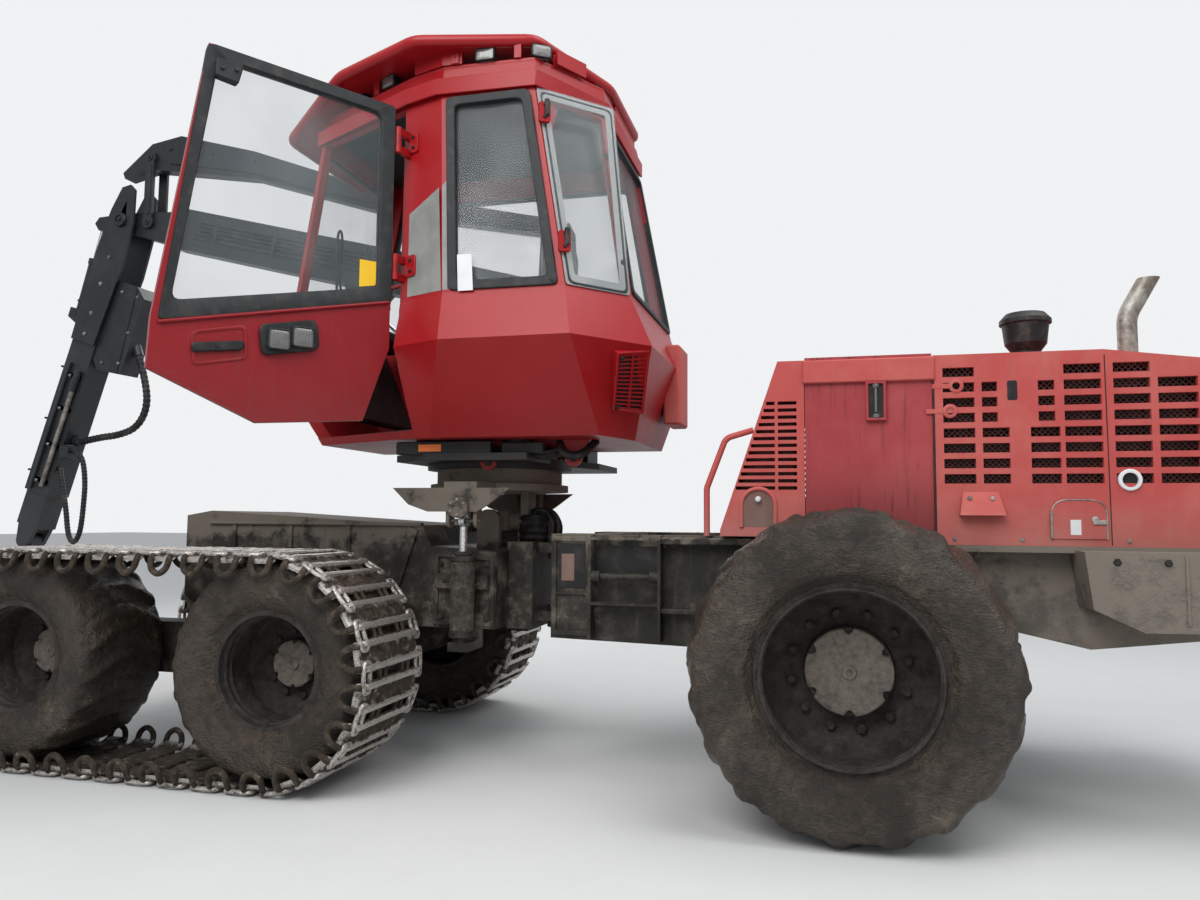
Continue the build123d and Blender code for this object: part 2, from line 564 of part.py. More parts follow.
def facet_corners(index):
    """The belt and header corners of one side of the cab, as four points."""
    zb, belt = CAB_SECTIONS["belt"]
    zh, header = CAB_SECTIONS["header"]
    nxt = (index + 1) % len(belt)
    return [Vector(*belt[index], zb), Vector(*belt[nxt], zb), Vector(*header[nxt], zh), Vector(*header[index], zh)]


def facet_window(index, side_margin, low_margin, high_margin, depth, thickness, mode=Mode.ADD):
    """A window-shaped plate in one side of the cab, its middle set in by a depth."""
    a, b, c, d = facet_corners(index)
    along = (b - a).normalized()
    normal = along.cross(d - a).normalized()
    up = normal.cross(along)
    plane = Plane(origin=a + normal * depth, x_dir=along, z_dir=normal)
    width, height = (b - a).length, (d - a).dot(up)
    left = (d - a).dot(along)
    right = (c - a).dot(along)
    lo, hi = low_margin, height - high_margin
    corners = [
        (left * lo / height + side_margin, lo), (width + (right - width) * lo / height - side_margin, lo),
        (width + (right - width) * hi / height - side_margin, hi), (left * hi / height + side_margin, hi),
    ]
    with BuildSketch(plane) as window:
        with BuildLine():
            Polyline(*corners, close=True)
        make_face()
    extrude(window.sketch, amount=thickness / 2, both=True, mode=mode)


HINGE = (2345, 985)
HINGE_R = 18
HINGE_PIN_R = 8
DOOR_KNUCKLES = (2720, 3430)
DOOR_OPEN = 52.0
DOOR_CLOSED = -24.3
DOOR_THICKNESS = 42
DOOR_SPACE = DOOR_THICKNESS + 8

# Sides of the cab by index: 0 rear, 1 rear left, 2 left, 3 pillar panel, 4 door, 5 front, 6 right
#          (side, side margin, low margin, high margin)
WINDOWS = [(0, 60, 40, 60), (1, 30, 20, 30), (2, 45, 20, 30), (5, 50, 30, 40), (6, 90, 60, 80)]
DOOR_SIDE = 4

closed_u = Vector(cos(radians(DOOR_CLOSED)), sin(radians(DOOR_CLOSED)))
closed_in = Vector(closed_u.Y, -closed_u.X)
closed_door = [
    (HINGE[0] + closed_u.X * run + closed_in.X * depth, HINGE[1] + closed_u.Y * run + closed_in.Y * depth)
    for run, depth in ((10, DOOR_SPACE), (1215, DOOR_SPACE), (1215, -400), (10, -400))
]

with BuildPart() as cab_tub:
    cab_shell("floor", "crease")
    cab_shell("crease", "belt")
    cab_shell("floor", "crease", WALL, 40, 0, Mode.SUBTRACT)
    cab_shell("crease", "belt", WALL, 0, 1, Mode.SUBTRACT)
    plan_plate([(2345, 500), (2345, 1400), (3600, 1400), (3250, 440), (3100, 300)], 1885, 1000, Mode.SUBTRACT)
    plan_plate(closed_door, 1885, 1000, Mode.SUBTRACT)
cab_tub.part.label = "cab_tub"
export_step(cab_tub.part, "parts/cab_tub.step")

with BuildPart() as cab_frame:
    cab_shell("belt", "header")
    cab_shell("header", "roof")
    cab_shell("belt", "header", WALL, -1, 0, Mode.SUBTRACT)
    cab_shell("header", "roof", WALL, 0, 1, Mode.SUBTRACT)
    for index, side_margin, low_margin, high_margin in WINDOWS:
        facet_window(index, side_margin, low_margin, high_margin, 20, 160, Mode.SUBTRACT)
    facet_window(DOOR_SIDE, 40, -20, 10, 20, 160, Mode.SUBTRACT)
    for z in DOOR_KNUCKLES:
        for low in (z - 40 - PIN_GAP, z + 60 + PIN_GAP):
            bar((HINGE[0], HINGE[1], low), (HINGE[0], HINGE[1], low + 40), HINGE_R)
            plan_plate([(HINGE[0] - 45, HINGE[1] - 125), (HINGE[0] - 5, HINGE[1] - 125),
                        (HINGE[0] + 8, HINGE[1]), (HINGE[0] - 8, HINGE[1])], low, 40)
        bar((HINGE[0], HINGE[1], z - 40), (HINGE[0], HINGE[1], z + 100), HINGE_PIN_R)
cab_frame.part.label = "cab_frame"
export_step(cab_frame.part, "parts/cab_frame.step")

with BuildPart() as cab_glass:
    for index, side_margin, low_margin, high_margin in WINDOWS:
        facet_window(index, side_margin + SEAT_GAP, low_margin + SEAT_GAP, high_margin + SEAT_GAP, 12, 8)
cab_glass.part.label = "cab_glass"
export_step(cab_glass.part, "parts/cab_glass.step")

# Roof: a plate on the header, posts and a guard plate above the lamps
ROOF_GUARD = [(1330, -470), (1330, 260), (1600, 960), (2330, 1010), (2850, 790), (3400, 420), (3400, -470)]
with BuildPart() as cab_roof:
    z, corners = CAB_SECTIONS["roof"]
    plan_plate(inset(corners, 5), z + SEAT_GAP, 24)
    plan_plate(ROOF_GUARD, 3980, 60)
    for x, y in inset(ROOF_GUARD, 110):
        bar((x, y, z + 20), (x, y, 3990), 22)
cab_roof.part.label = "cab_roof"
export_step(cab_roof.part, "parts/cab_roof.step")

# Operator's seat on its pedestal
with BuildPart() as operator_seat:
    block(1750, 2050, 150, 450, CAB_FLOOR_Z + 40 + SEAT_GAP, 2250)
    block(1650, 2200, 50, 550, 2250, 2380)
    side_plate([(1650, 2300), (1560, 3050), (1680, 3060), (1780, 2330)], 300, 480)
operator_seat.part.label = "operator_seat"
export_step(operator_seat.part, "parts/operator_seat.step")

# Cab door, open: drawn in its own plane as (distance from the hinge, Z)
DOOR_OUTLINE = [(24, 2300), (24, 3640), (990, 3680), (1190, 2310), (1200, 2070), (700, 1850), (160, 1900)]
DOOR_WINDOW = [(90, 2610), (90, 3590), (945, 3625), (1120, 2380)]
door_u = Vector(cos(radians(DOOR_OPEN)), sin(radians(DOOR_OPEN)), 0)
door_n = Vector(-door_u.Y, door_u.X, 0)
DOOR_PLANE = Plane(origin=(HINGE[0], HINGE[1], 0), x_dir=door_u, z_dir=-door_n)


def door_plate(points, depth, thickness, mode=Mode.ADD):
    """A plate in the door's plane, its outer face set in by a depth."""
    with BuildSketch(DOOR_PLANE.offset(depth)) as profile:
        with BuildLine():
            Polyline(*points, close=True)
        make_face()
    extrude(profile.sketch, amount=thickness, mode=mode)


with BuildPart() as cab_door:
    door_plate(DOOR_OUTLINE, 0, DOOR_THICKNESS)
    door_plate(DOOR_WINDOW, -20, 100, Mode.SUBTRACT)
    for z in DOOR_KNUCKLES:
        bar((HINGE[0], HINGE[1], z), (HINGE[0], HINGE[1], z + 60), HINGE_R)
        bar((HINGE[0], HINGE[1], z - 5), (HINGE[0], HINGE[1], z + 65), HINGE_PIN_R + PIN_GAP, Mode.SUBTRACT)
        door_plate([(HINGE_R - 4, z), (40, z), (40, z + 60), (HINGE_R - 4, z + 60)], 0, 14)
cab_door.part.label = "cab_door"
export_step(cab_door.part, "parts/cab_door.step")

with BuildPart() as door_glass:
    door_plate([(90.3, 2610.5), (90.3, 3589.6), (944.6, 3624.5), (1119.4, 2380.8)], 14, 8)
door_glass.part.label = "door_glass"
export_step(door_glass.part, "parts/door_glass.step")


# Crane
def along(origin, angle, distance, offset=0.0):
    """A point in the crane's plane: a distance along a line at an angle, and an offset to its left."""
    turn = radians(angle)
    return (origin[0] + distance * cos(turn) - offset * sin(turn),
            origin[1] + distance * sin(turn) + offset * cos(turn))


BOOM_ANGLE = degrees(atan2(BOOM_TIP[1] - BOOM_FOOT[1], BOOM_TIP[0] - BOOM_FOOT[0]))
BOOM_LENGTH = hypot(BOOM_TIP[1] - BOOM_FOOT[1], BOOM_TIP[0] - BOOM_FOOT[0])
BOOM_HALF = 165
TONGUE_HALF = 60
LIFT_LUG = along(BOOM_FOOT, BOOM_ANGLE, 1500, -320)
JIB_NOSE = (5970, 3830)
NOSE_SLOT = 38
KNEE_PIN_R = 36
TUBE_HALF = 110
TUBE_DEPTH = 120
TUBE_WALL = 14
with BuildPart() as main_boom:
    side_plate([along(BOOM_FOOT, BOOM_ANGLE, s, n) for s, n in (
        (-60, -60), (300, -150), (1400, -BOOM_HALF - 15), (3300, -BOOM_HALF), (3300, BOOM_HALF),
        (1400, BOOM_HALF - 15), (300, 130), (-60, 60))], CRANE_Y, 170)
    side_plate([along(BOOM_FOOT, BOOM_ANGLE, 3250, -150), (5700, 3730), (5980, 3770), (6020, 3830),
                (5980, 3880), (5700, 3890), (5480, 3880), along(BOOM_FOOT, BOOM_ANGLE, 3250, 150)],
               CRANE_Y, 2 * TONGUE_HALF)
    for end in (-1, 1):
        side_plate([along(BOOM_FOOT, BOOM_ANGLE, s, n) for s, n in (
            (1300, -150), (1430, -370), (1570, -370), (1700, -150))], CRANE_Y + end * 55, 30)
    cross_bar(*BOOM_FOOT, CRANE_Y, 70, 2 * (PILLAR_HALF - 40 - PIN_GAP))
    cross_bar(*BOOM_FOOT, CRANE_Y, 32 + PIN_GAP, 200, Mode.SUBTRACT)
    cross_bar(*BOOM_TIP, CRANE_Y, 26, 190)
    cross_bar(*KNEE, CRANE_Y, KNEE_PIN_R, 270)
    cross_bar(*KNEE, CRANE_Y, 60, 2 * (TUBE_HALF - PIN_GAP))
    block(5825, 6100, CRANE_Y - NOSE_SLOT, CRANE_Y + NOSE_SLOT, 3600, 4000, Mode.SUBTRACT)
main_boom.part.label = "main_boom"
export_step(main_boom.part, "parts/main_boom.step")

LINK_FOOT = (BOOM_FOOT[0], BOOM_FOOT[1] + LINK_RISE)
LINK_TIP = (BOOM_TIP[0], BOOM_TIP[1] + LINK_RISE)
with BuildPart() as upper_link:
    side_plate([(1960, 3420), (3300, 3690), (4500, 4080), (5480, 4245), (5740, 4190), (5760, 4240),
                (5480, 4460), (5200, 4500), (4500, 4300), (3300, 3850), (1960, 3540)],
               CRANE_Y, 2 * TONGUE_HALF)
    cross_bar(*LINK_FOOT, CRANE_Y, 62, 2 * (PILLAR_HALF - 40 - PIN_GAP))
    cross_bar(*LINK_FOOT, CRANE_Y, 32 + PIN_GAP, 200, Mode.SUBTRACT)
    cross_bar(*LINK_TIP, CRANE_Y, 26, 130)
upper_link.part.label = "upper_link"
export_step(upper_link.part, "parts/upper_link.step")

with BuildPart() as knee_link:
    for end in (-1, 1):
        y = CRANE_Y + end * 78
        side_plate([(BOOM_TIP[0] - 40, BOOM_TIP[1]), (BOOM_TIP[0] + 40, BOOM_TIP[1]),
                    (LINK_TIP[0] + 40, LINK_TIP[1]), (LINK_TIP[0] - 40, LINK_TIP[1])], y, 24)
        for x, z in (BOOM_TIP, LINK_TIP):
            cross_bar(x, z, y, 52, 24)
            cross_bar(x, z, y, 26 + PIN_GAP, 40, Mode.SUBTRACT)
knee_link.part.label = "knee_link"
export_step(knee_link.part, "parts/knee_link.step")

# Lift cylinder
lift_angle = degrees(atan2(LIFT_LUG[1] - LIFT_FOOT[1], LIFT_LUG[0] - LIFT_FOOT[0]))
lift_length = hypot(LIFT_LUG[1] - LIFT_FOOT[1], LIFT_LUG[0] - LIFT_FOOT[0])


def cylinder_barrel(foot, angle, length, radius, bore, pin, width):
    """A cylinder's barrel in the crane's plane: an eye on its pin and a bored tube."""
    p0, p1 = along(foot, angle, 20), along(foot, angle, length)
    bar((p0[0], CRANE_Y, p0[1]), (p1[0], CRANE_Y, p1[1]), radius)
    cross_bar(*foot, CRANE_Y, radius * 0.95, width)
    p2, p3 = along(foot, angle, radius + 30), along(foot, angle, length + 10)
    bar((p2[0], CRANE_Y, p2[1]), (p3[0], CRANE_Y, p3[1]), bore + PIN_GAP, Mode.SUBTRACT)
    cross_bar(*foot, CRANE_Y, pin + PIN_GAP, width + 20, Mode.SUBTRACT)


def cylinder_rod(foot, angle, start, end, radius, eye, width):
    """A cylinder's rod in the crane's plane, with its eye."""
    p0, p1 = along(foot, angle, start), along(foot, angle, end)
    bar((p0[0], CRANE_Y, p0[1]), (p1[0], CRANE_Y, p1[1]), radius)
    cross_bar(*p1, CRANE_Y, eye, width)
    cross_bar(*p1, CRANE_Y, eye * 0.45, width + 20, Mode.SUBTRACT)


LIFT_BARREL_LENGTH = 1130
with BuildPart() as lift_barrel:
    cylinder_barrel(LIFT_FOOT, lift_angle, LIFT_BARREL_LENGTH, 72, 38, 32, 140)
lift_barrel.part.label = "lift_barrel"
export_step(lift_barrel.part, "parts/lift_barrel.step")
with BuildPart() as lift_rod:
    cylinder_rod(LIFT_FOOT, lift_angle, 430, lift_length, 38, 48, 70)
lift_rod.part.label = "lift_rod"
export_step(lift_rod.part, "parts/lift_rod.step")

# Outer boom: distances along it from the knee, offsets to its front
OUTER_DIR = -OUTER_ANGLE


def on_outer(distance, offset):
    """A point by its distance from the knee along the outer boom and its offset to the front."""
    return along(KNEE, OUTER_DIR, distance, offset)


def cord_radii(points):
    """The largest bend at each inner point of a cord's route that its two runs allow."""
    radii = []
    for a, b, c in zip(points, points[1:], points[2:]):
        first, second = Vector(b[0] - a[0], b[1] - a[1]), Vector(c[0] - b[0], c[1] - b[1])
        half_turn = radians(first.get_angle(second)) / 2
        radii.append(0.45 * min(first.length, second.length) / tan(half_turn))
    return radii


HOSE_R = 26
HOSE_ROUTE = [on_outer(1017, -465), (5487, 2480), (5462, 2270), (5556, 2108), (5740, 2050), (5930, 2036),
              on_outer(1864, -150)]
print("hose bends", [round(radius) for radius in cord_radii(HOSE_ROUTE)])

JIB_FOOT = on_outer(850, 230)
TUBE_START, TUBE_END = 800, 2350
with BuildPart() as outer_boom:
    side_plate([on_outer(s, n) for s, n in ((TUBE_START, -TUBE_DEPTH), (TUBE_END, -TUBE_DEPTH),
                                            (TUBE_END, TUBE_DEPTH), (TUBE_START, TUBE_DEPTH))],
               CRANE_Y, 2 * TUBE_HALF)
    for (x0, z0), (x1, z1) in (HOSE_ROUTE[:2], HOSE_ROUTE[:-3:-1]):
        run = Vector(x1 - x0, 0, z1 - z0).normalized()
        bar(Vector(x0, CRANE_Y, z0) - run * 90, (x0, CRANE_Y, z0), HOSE_R + 10)
    side_plate([on_outer(s, n) for s, n in (
        (TUBE_START + 20, -TUBE_DEPTH + TUBE_WALL), (TUBE_END + 10, -TUBE_DEPTH + TUBE_WALL),
        (TUBE_END + 10, TUBE_DEPTH - TUBE_WALL), (TUBE_START + 20, TUBE_DEPTH - TUBE_WALL))],
        CRANE_Y, 2 * (TUBE_HALF - TUBE_WALL), Mode.SUBTRACT)
    for end in (-1, 1):
        side_plate([on_outer(s, n) for s, n in (
            (TUBE_START, TUBE_DEPTH - 5), (TUBE_START + 10, 280), (890, 280), (950, TUBE_DEPTH - 5))],
            CRANE_Y + end * 61, 24)
    cross_bar(*JIB_FOOT, CRANE_Y, 24, 150)
    side_plate([on_outer(s, n) for s, n in (
        (480, -130), (820, -118), (1150, -118), (1230, -200), (1200, -430), (560, -430), (480, -330))],
        CRANE_Y, 190)
outer_boom.part.label = "outer_boom"
export_step(outer_boom.part, "parts/outer_boom.step")

# Head plates of the outer boom, one on each side of its tube
CHEEK_PLATE = 20
with BuildPart() as boom_cheeks:
    for end in (-1, 1):
        side_plate([on_outer(s, n) for s, n in (
            (-300, 20), (-260, 90), (-60, 130), (300, 150), (1050, TUBE_DEPTH), (1050, -TUBE_DEPTH),
            (400, -150), (0, -125), (-270, -40))],
            CRANE_Y + end * (TUBE_HALF + SEAT_GAP + CHEEK_PLATE / 2), CHEEK_PLATE)
    cross_bar(*KNEE, CRANE_Y, KNEE_PIN_R + PIN_GAP, 400, Mode.SUBTRACT)
boom_cheeks.part.label = "boom_cheeks"
export_step(boom_cheeks.part, "parts/boom_cheeks.step")

# Jib cylinder, from the outer boom's lug to the main boom's nose
jib_angle = degrees(atan2(JIB_NOSE[1] - JIB_FOOT[1], JIB_NOSE[0] - JIB_FOOT[0]))
jib_length = hypot(JIB_NOSE[1] - JIB_FOOT[1], JIB_NOSE[0] - JIB_FOOT[0])
with BuildPart() as jib_barrel:
    cylinder_barrel(JIB_FOOT, jib_angle, 480, 45, 25, 24, 94)
jib_barrel.part.label = "jib_barrel"
export_step(jib_barrel.part, "parts/jib_barrel.step")
with BuildPart() as jib_rod:
    cylinder_rod(JIB_FOOT, jib_angle, 290, jib_length, 25, 38, 60)
jib_rod.part.label = "jib_rod"
export_step(jib_rod.part, "parts/jib_rod.step")

# Extension boom, sliding in the outer boom's tube
EXT_HALF = TUBE_HALF - TUBE_WALL - SLIDE_GAP
EXT_DEPTH = TUBE_DEPTH - TUBE_WALL - SLIDE_GAP
EXT_START, EXT_END = 880, 2640
TIP = on_outer(TIP_DISTANCE, 0)
TIP_PIN_R = 28
with BuildPart() as extension_boom:
    side_plate([on_outer(s, n) for s, n in ((EXT_START, -EXT_DEPTH), (EXT_END, -EXT_DEPTH),
                                            (EXT_END, EXT_DEPTH), (EXT_START, EXT_DEPTH))],
               CRANE_Y, 2 * EXT_HALF)
    side_plate([on_outer(s, n) for s, n in ((EXT_START - 5, -EXT_DEPTH + 12), (EXT_END - 60, -EXT_DEPTH + 12),
                                            (EXT_END - 60, EXT_DEPTH - 12), (EXT_START - 5, EXT_DEPTH - 12))],
               CRANE_Y, 2 * (EXT_HALF - 12), Mode.SUBTRACT)
    for end in (-1, 1):
        side_plate([on_outer(s, n) for s, n in ((EXT_END - 80, -EXT_DEPTH), (TIP_DISTANCE, -62),
                                                (TIP_DISTANCE, 62), (EXT_END - 80, EXT_DEPTH))],
                   CRANE_Y + end * 76, 36)
        cross_bar(*TIP, CRANE_Y + end * 76, 62, 36)
    cross_bar(*TIP, CRANE_Y, TIP_PIN_R, 170)
extension_boom.part.label = "extension_boom"
export_step(extension_boom.part, "parts/extension_boom.step")

# Tip link with the rotator's housing
ROTATOR_TOP = TIP[1] - 230
ROTATOR_BOTTOM = TIP[1] - 360
ROTATOR_R = 110
with BuildPart() as tip_link:
    side_plate([(TIP[0] - 55, TIP[1]), (TIP[0] + 55, TIP[1]), (TIP[0] + 70, ROTATOR_TOP),
                (TIP[0] - 70, ROTATOR_TOP)], CRANE_Y, 110)
    cross_bar(*TIP, CRANE_Y, 55, 110)
    cross_bar(*TIP, CRANE_Y, TIP_PIN_R + PIN_GAP, 130, Mode.SUBTRACT)
    bar((TIP[0], CRANE_Y, ROTATOR_BOTTOM), (TIP[0], CRANE_Y, ROTATOR_TOP), ROTATOR_R)
tip_link.part.label = "tip_link"
export_step(tip_link.part, "parts/tip_link.step")

# Harvester head: hanger, frame, feed arms and knives
TILT_PIN_Z = ROTATOR_BOTTOM - 133
LEG_Y = 115
with BuildPart() as head_hanger:
    bar((TIP[0], CRANE_Y, ROTATOR_BOTTOM - 40), (TIP[0], CRANE_Y, ROTATOR_BOTTOM - PIN_GAP), ROTATOR_R)
    block(TIP[0] - 70, TIP[0] + 70, CRANE_Y - 130, CRANE_Y + 130, ROTATOR_BOTTOM - 60, ROTATOR_BOTTOM - 36)
    for end in (-1, 1):
        side_plate([(TIP[0] - 60, TILT_PIN_Z), (TIP[0] + 60, TILT_PIN_Z), (TIP[0] + 70, ROTATOR_BOTTOM - 40),
                    (TIP[0] - 70, ROTATOR_BOTTOM - 40)], CRANE_Y + end * LEG_Y, 30)
        cross_bar(TIP[0], TILT_PIN_Z, CRANE_Y + end * LEG_Y, 60, 30)
    cross_bar(TIP[0], TILT_PIN_Z, CRANE_Y, 30, 260)
head_hanger.part.label = "head_hanger"
export_step(head_hanger.part, "parts/head_hanger.step")

ARM_PIN = (190, 450)
with BuildPart() as head_frame:
    side_plate([(TIP[0] - 58, 500), (TIP[0] - 58, TILT_PIN_Z), (TIP[0] + 58, TILT_PIN_Z), (TIP[0] + 58, 500)],
               CRANE_Y, 198)
    cross_bar(TIP[0], TILT_PIN_Z, CRANE_Y, 58, 198)
    cross_bar(TIP[0], TILT_PIN_Z, CRANE_Y, 30 + PIN_GAP, 220, Mode.SUBTRACT)
    block(TIP[0] - 560, TIP[0] + 620, CRANE_Y - 150, CRANE_Y + 150, 400, 540)
    block(TIP[0] + 560, TIP[0] + 700, CRANE_Y - 210, CRANE_Y + 150, 330, 540)
    block(TIP[0] + 560, TIP[0] + 700, CRANE_Y - 215, CRANE_Y - 160, 150, 540)
    block(TIP[0] - 560, TIP[0] - 500, CRANE_Y - 110, CRANE_Y + 110, 330, 410)
    for end in (-1, 1):
        y = CRANE_Y + end * ARM_PIN[0]
        bar((TIP[0] - 200, y, ARM_PIN[1]), (TIP[0] + 545, y, ARM_PIN[1]), 24)
        for x in (-190, 190, 400, 535):
            block(TIP[0] + x - 10, TIP[0] + x + 10, *sorted((CRANE_Y + end * 140, y + end * 40)), 405, 495)
head_frame.part.label = "head_frame"
export_step(head_frame.part, "parts/head_frame.step")


def head_plate(points, side, x, length, mode=Mode.ADD):
    """A plate across the head, from (distance from its middle, Z) points on one side."""
    with BuildSketch(Plane.YZ.offset(x)) as profile:
        with BuildLine():
            Polyline(*[(CRANE_Y + side * y, z) for y, z in points], close=True)
        make_face()
    extrude(profile.sketch, amount=length, mode=mode)


ARM_OUTLINE = [(190, 488), (190, 412), (250, 352), (430, 352), (430, 400), (330, 470)]
KNIFE_OUTLINE = [(190, 486), (300, 440), (370, 300), (330, 130), (150, 45), (40, 55), (150, 120),
                 (230, 210), (250, 320), (190, 414)]
for name, side in SIDES.items():
    y = CRANE_Y + side * ARM_PIN[0]
    with BuildPart() as feed_arm:
        head_plate(ARM_OUTLINE, side, TIP[0] - 178, 356)
        bar((TIP[0] - 178, y, ARM_PIN[1]), (TIP[0] + 178, y, ARM_PIN[1]), 37)
        bar((TIP[0], CRANE_Y + side * 330, 110), (TIP[0], CRANE_Y + side * 330, 340), 165)
        bar((TIP[0], CRANE_Y + side * 330, 330), (TIP[0], CRANE_Y + side * 330, 360), 60)
        bar((TIP[0] - 220, y, ARM_PIN[1]), (TIP[0] + 220, y, ARM_PIN[1]), 24 + PIN_GAP, Mode.SUBTRACT)
    feed_arm.part.label = f"feed_arm_{name}"
    export_step(feed_arm.part, f"parts/feed_arm_{name}.step")

    with BuildPart() as knife:
        head_plate(KNIFE_OUTLINE, side, TIP[0] + 412, 110)
        bar((TIP[0] + 412, y, ARM_PIN[1]), (TIP[0] + 522, y, ARM_PIN[1]), 37)
        bar((TIP[0] + 400, y, ARM_PIN[1]), (TIP[0] + 540, y, ARM_PIN[1]), 24 + PIN_GAP, Mode.SUBTRACT)
    knife.part.label = f"knife_{name}"
    export_step(knife.part, f"parts/knife_{name}.step")

# Wrapped hose bundle from its gland on the guard round to its clamp on the tube
with BuildPart() as crane_hoses:
    with BuildLine(Plane.XZ.offset(-CRANE_Y)) as route:
        FilletPolyline(*HOSE_ROUTE, radius=cord_radii(HOSE_ROUTE))
    with BuildSketch(Plane(origin=route.wire() @ 0, z_dir=route.wire() % 0)) as ring:
        Circle(HOSE_R)
    sweep(ring.sketch, path=route.wire())
crane_hoses.part.label = "crane_hoses"
export_step(crane_hoses.part, "parts/crane_hoses.step")
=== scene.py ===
"""Looks of a forestry harvester: muddy wheels and tracks, faded red panels, a glazed cab and a black crane.

All lengths are metres in the row frame: X forward, Y to the machine's left, Z up.
"""

import itertools
import json
import math

import bmesh
import bpy
import numpy as np
from mathutils import Matrix, Vector


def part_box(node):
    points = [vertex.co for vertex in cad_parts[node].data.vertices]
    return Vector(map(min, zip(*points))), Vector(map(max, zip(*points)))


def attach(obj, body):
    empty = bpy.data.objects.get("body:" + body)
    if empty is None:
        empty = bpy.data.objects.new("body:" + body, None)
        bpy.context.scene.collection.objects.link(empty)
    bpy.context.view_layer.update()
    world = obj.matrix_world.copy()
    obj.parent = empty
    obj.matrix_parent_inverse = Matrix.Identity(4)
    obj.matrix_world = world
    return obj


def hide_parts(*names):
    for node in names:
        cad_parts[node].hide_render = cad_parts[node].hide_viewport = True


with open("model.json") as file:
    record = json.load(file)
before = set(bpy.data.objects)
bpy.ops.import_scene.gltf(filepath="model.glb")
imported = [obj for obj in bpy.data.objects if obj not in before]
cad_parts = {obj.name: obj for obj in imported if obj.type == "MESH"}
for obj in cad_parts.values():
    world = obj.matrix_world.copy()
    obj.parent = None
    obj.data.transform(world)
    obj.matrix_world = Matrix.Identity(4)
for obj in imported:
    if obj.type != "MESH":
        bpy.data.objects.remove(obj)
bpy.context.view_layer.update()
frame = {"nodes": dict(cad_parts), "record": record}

bl_info = {
    "name": "Forestry Harvester Looks",
    "version": (1, 0, 0),
    "blender": (4, 5, 0),
    "location": "View3D > Sidebar > Harvester",
    "description": "Surfaces, finishes, stage and camera for a forestry harvester",
    "category": "Object",
}

SIDES = {"left": 1, "right": -1}


# Finished materials by name
MATERIALS = {}


# Shader expressions


class Value:
    """An output socket of a material; arithmetic on it adds Math nodes."""

    def __init__(self, finish, socket):
        self.finish = finish
        self.socket = socket

    def maths(self, operation, first, second=0.0, clamp=False):
        return self.finish.node("Math", {"operation": operation, "use_clamp": clamp}, {0: first, 1: second})

    def __add__(self, other):
        return self.maths("ADD", self, other)

    __radd__ = __add__

    def __sub__(self, other):
        return self.maths("SUBTRACT", self, other)

    def __rsub__(self, other):
        return self.maths("SUBTRACT", other, self)

    def __mul__(self, other):
        return self.maths("MULTIPLY", self, other)

    __rmul__ = __mul__

    def clipped(self):
        """The value kept between 0 and 1."""
        return self.maths("ADD", self, 0.0, True)

    def wave(self):
        """The sine of the value."""
        return self.maths("SINE", self)

    def rise(self, low, high):
        """0 below low, 1 above high and a smooth step between; low may be above high."""
        settings = {"interpolation_type": "SMOOTHSTEP"}
        return self.finish.node("MapRange", settings, {"Value": self, "From Min": low, "From Max": high})


class Finish:
    """A procedural material built round one Principled shader, kept in MATERIALS by its name."""

    def __init__(self, name, **constants):
        material = MATERIALS[name] = bpy.data.materials.new(name)
        material.use_nodes = True
        self.tree = material.node_tree
        self.shader = self.tree.nodes["Principled BSDF"]
        self.place = self.node("TexCoord", {}, {}, "Object")
        for socket, value in constants.items():
            self.shader.inputs[socket.replace("_", " ")].default_value = value

    def node(self, kind, settings, inputs, output=0):
        """Adds a node of a kind, with its settings first and then its sockets."""
        node = self.tree.nodes.new("ShaderNode" + kind)
        for key, value in settings.items():
            setattr(node, key, value)
        for key, value in inputs.items():
            if isinstance(value, Value):
                self.tree.links.new(value.socket, node.inputs[key])
            else:
                node.inputs[key].default_value = value
        return Value(self, node.outputs[output])

    def noise(self, scale, detail=4.0, roughness=0.6, stretch=None, distortion=0.0):
        """Noise over the object's own coordinates, which stretch multiplies along each axis."""
        vector = self.node("Mapping", {}, {"Vector": self.place, "Scale": stretch}) if stretch else self.place
        return self.node("TexNoise", {}, {"Vector": vector, "Scale": scale, "Detail": detail, "Roughness": roughness,
            "Distortion": distortion})

    def axis(self, name):
        """One of the object's coordinates, X, Y or Z."""
        return self.node("SeparateXYZ", {}, {0: self.place}, name)

    def attribute(self, name):
        return self.node("Attribute", {"attribute_name": name}, {}, "Fac")

    def blend(self, factor, first, second):
        """A colour between two colours."""
        sockets = {0: factor, 6: first, 7: second}
        return self.node("Mix", {"data_type": "RGBA"}, sockets, 2)

    def feed(self, **links):
        """Links values to the shader's sockets."""
        for socket, value in links.items():
            self.tree.links.new(value.socket, self.shader.inputs[socket.replace("_", " ")])

    def relief(self, height, distance):
        """Raises the surface by a height times a distance."""
        self.feed(Normal=self.node("Bump", {}, {"Height": height, "Distance": distance}))


def rgb(red, green, blue):
    return (red, green, blue, 1.0)


MUD_DARK, MUD_MID, MUD_PALE = rgb(0.019, 0.0125, 0.0075), rgb(0.057, 0.040, 0.025), rgb(0.17, 0.138, 0.098)
DUST = rgb(0.27, 0.22, 0.175)


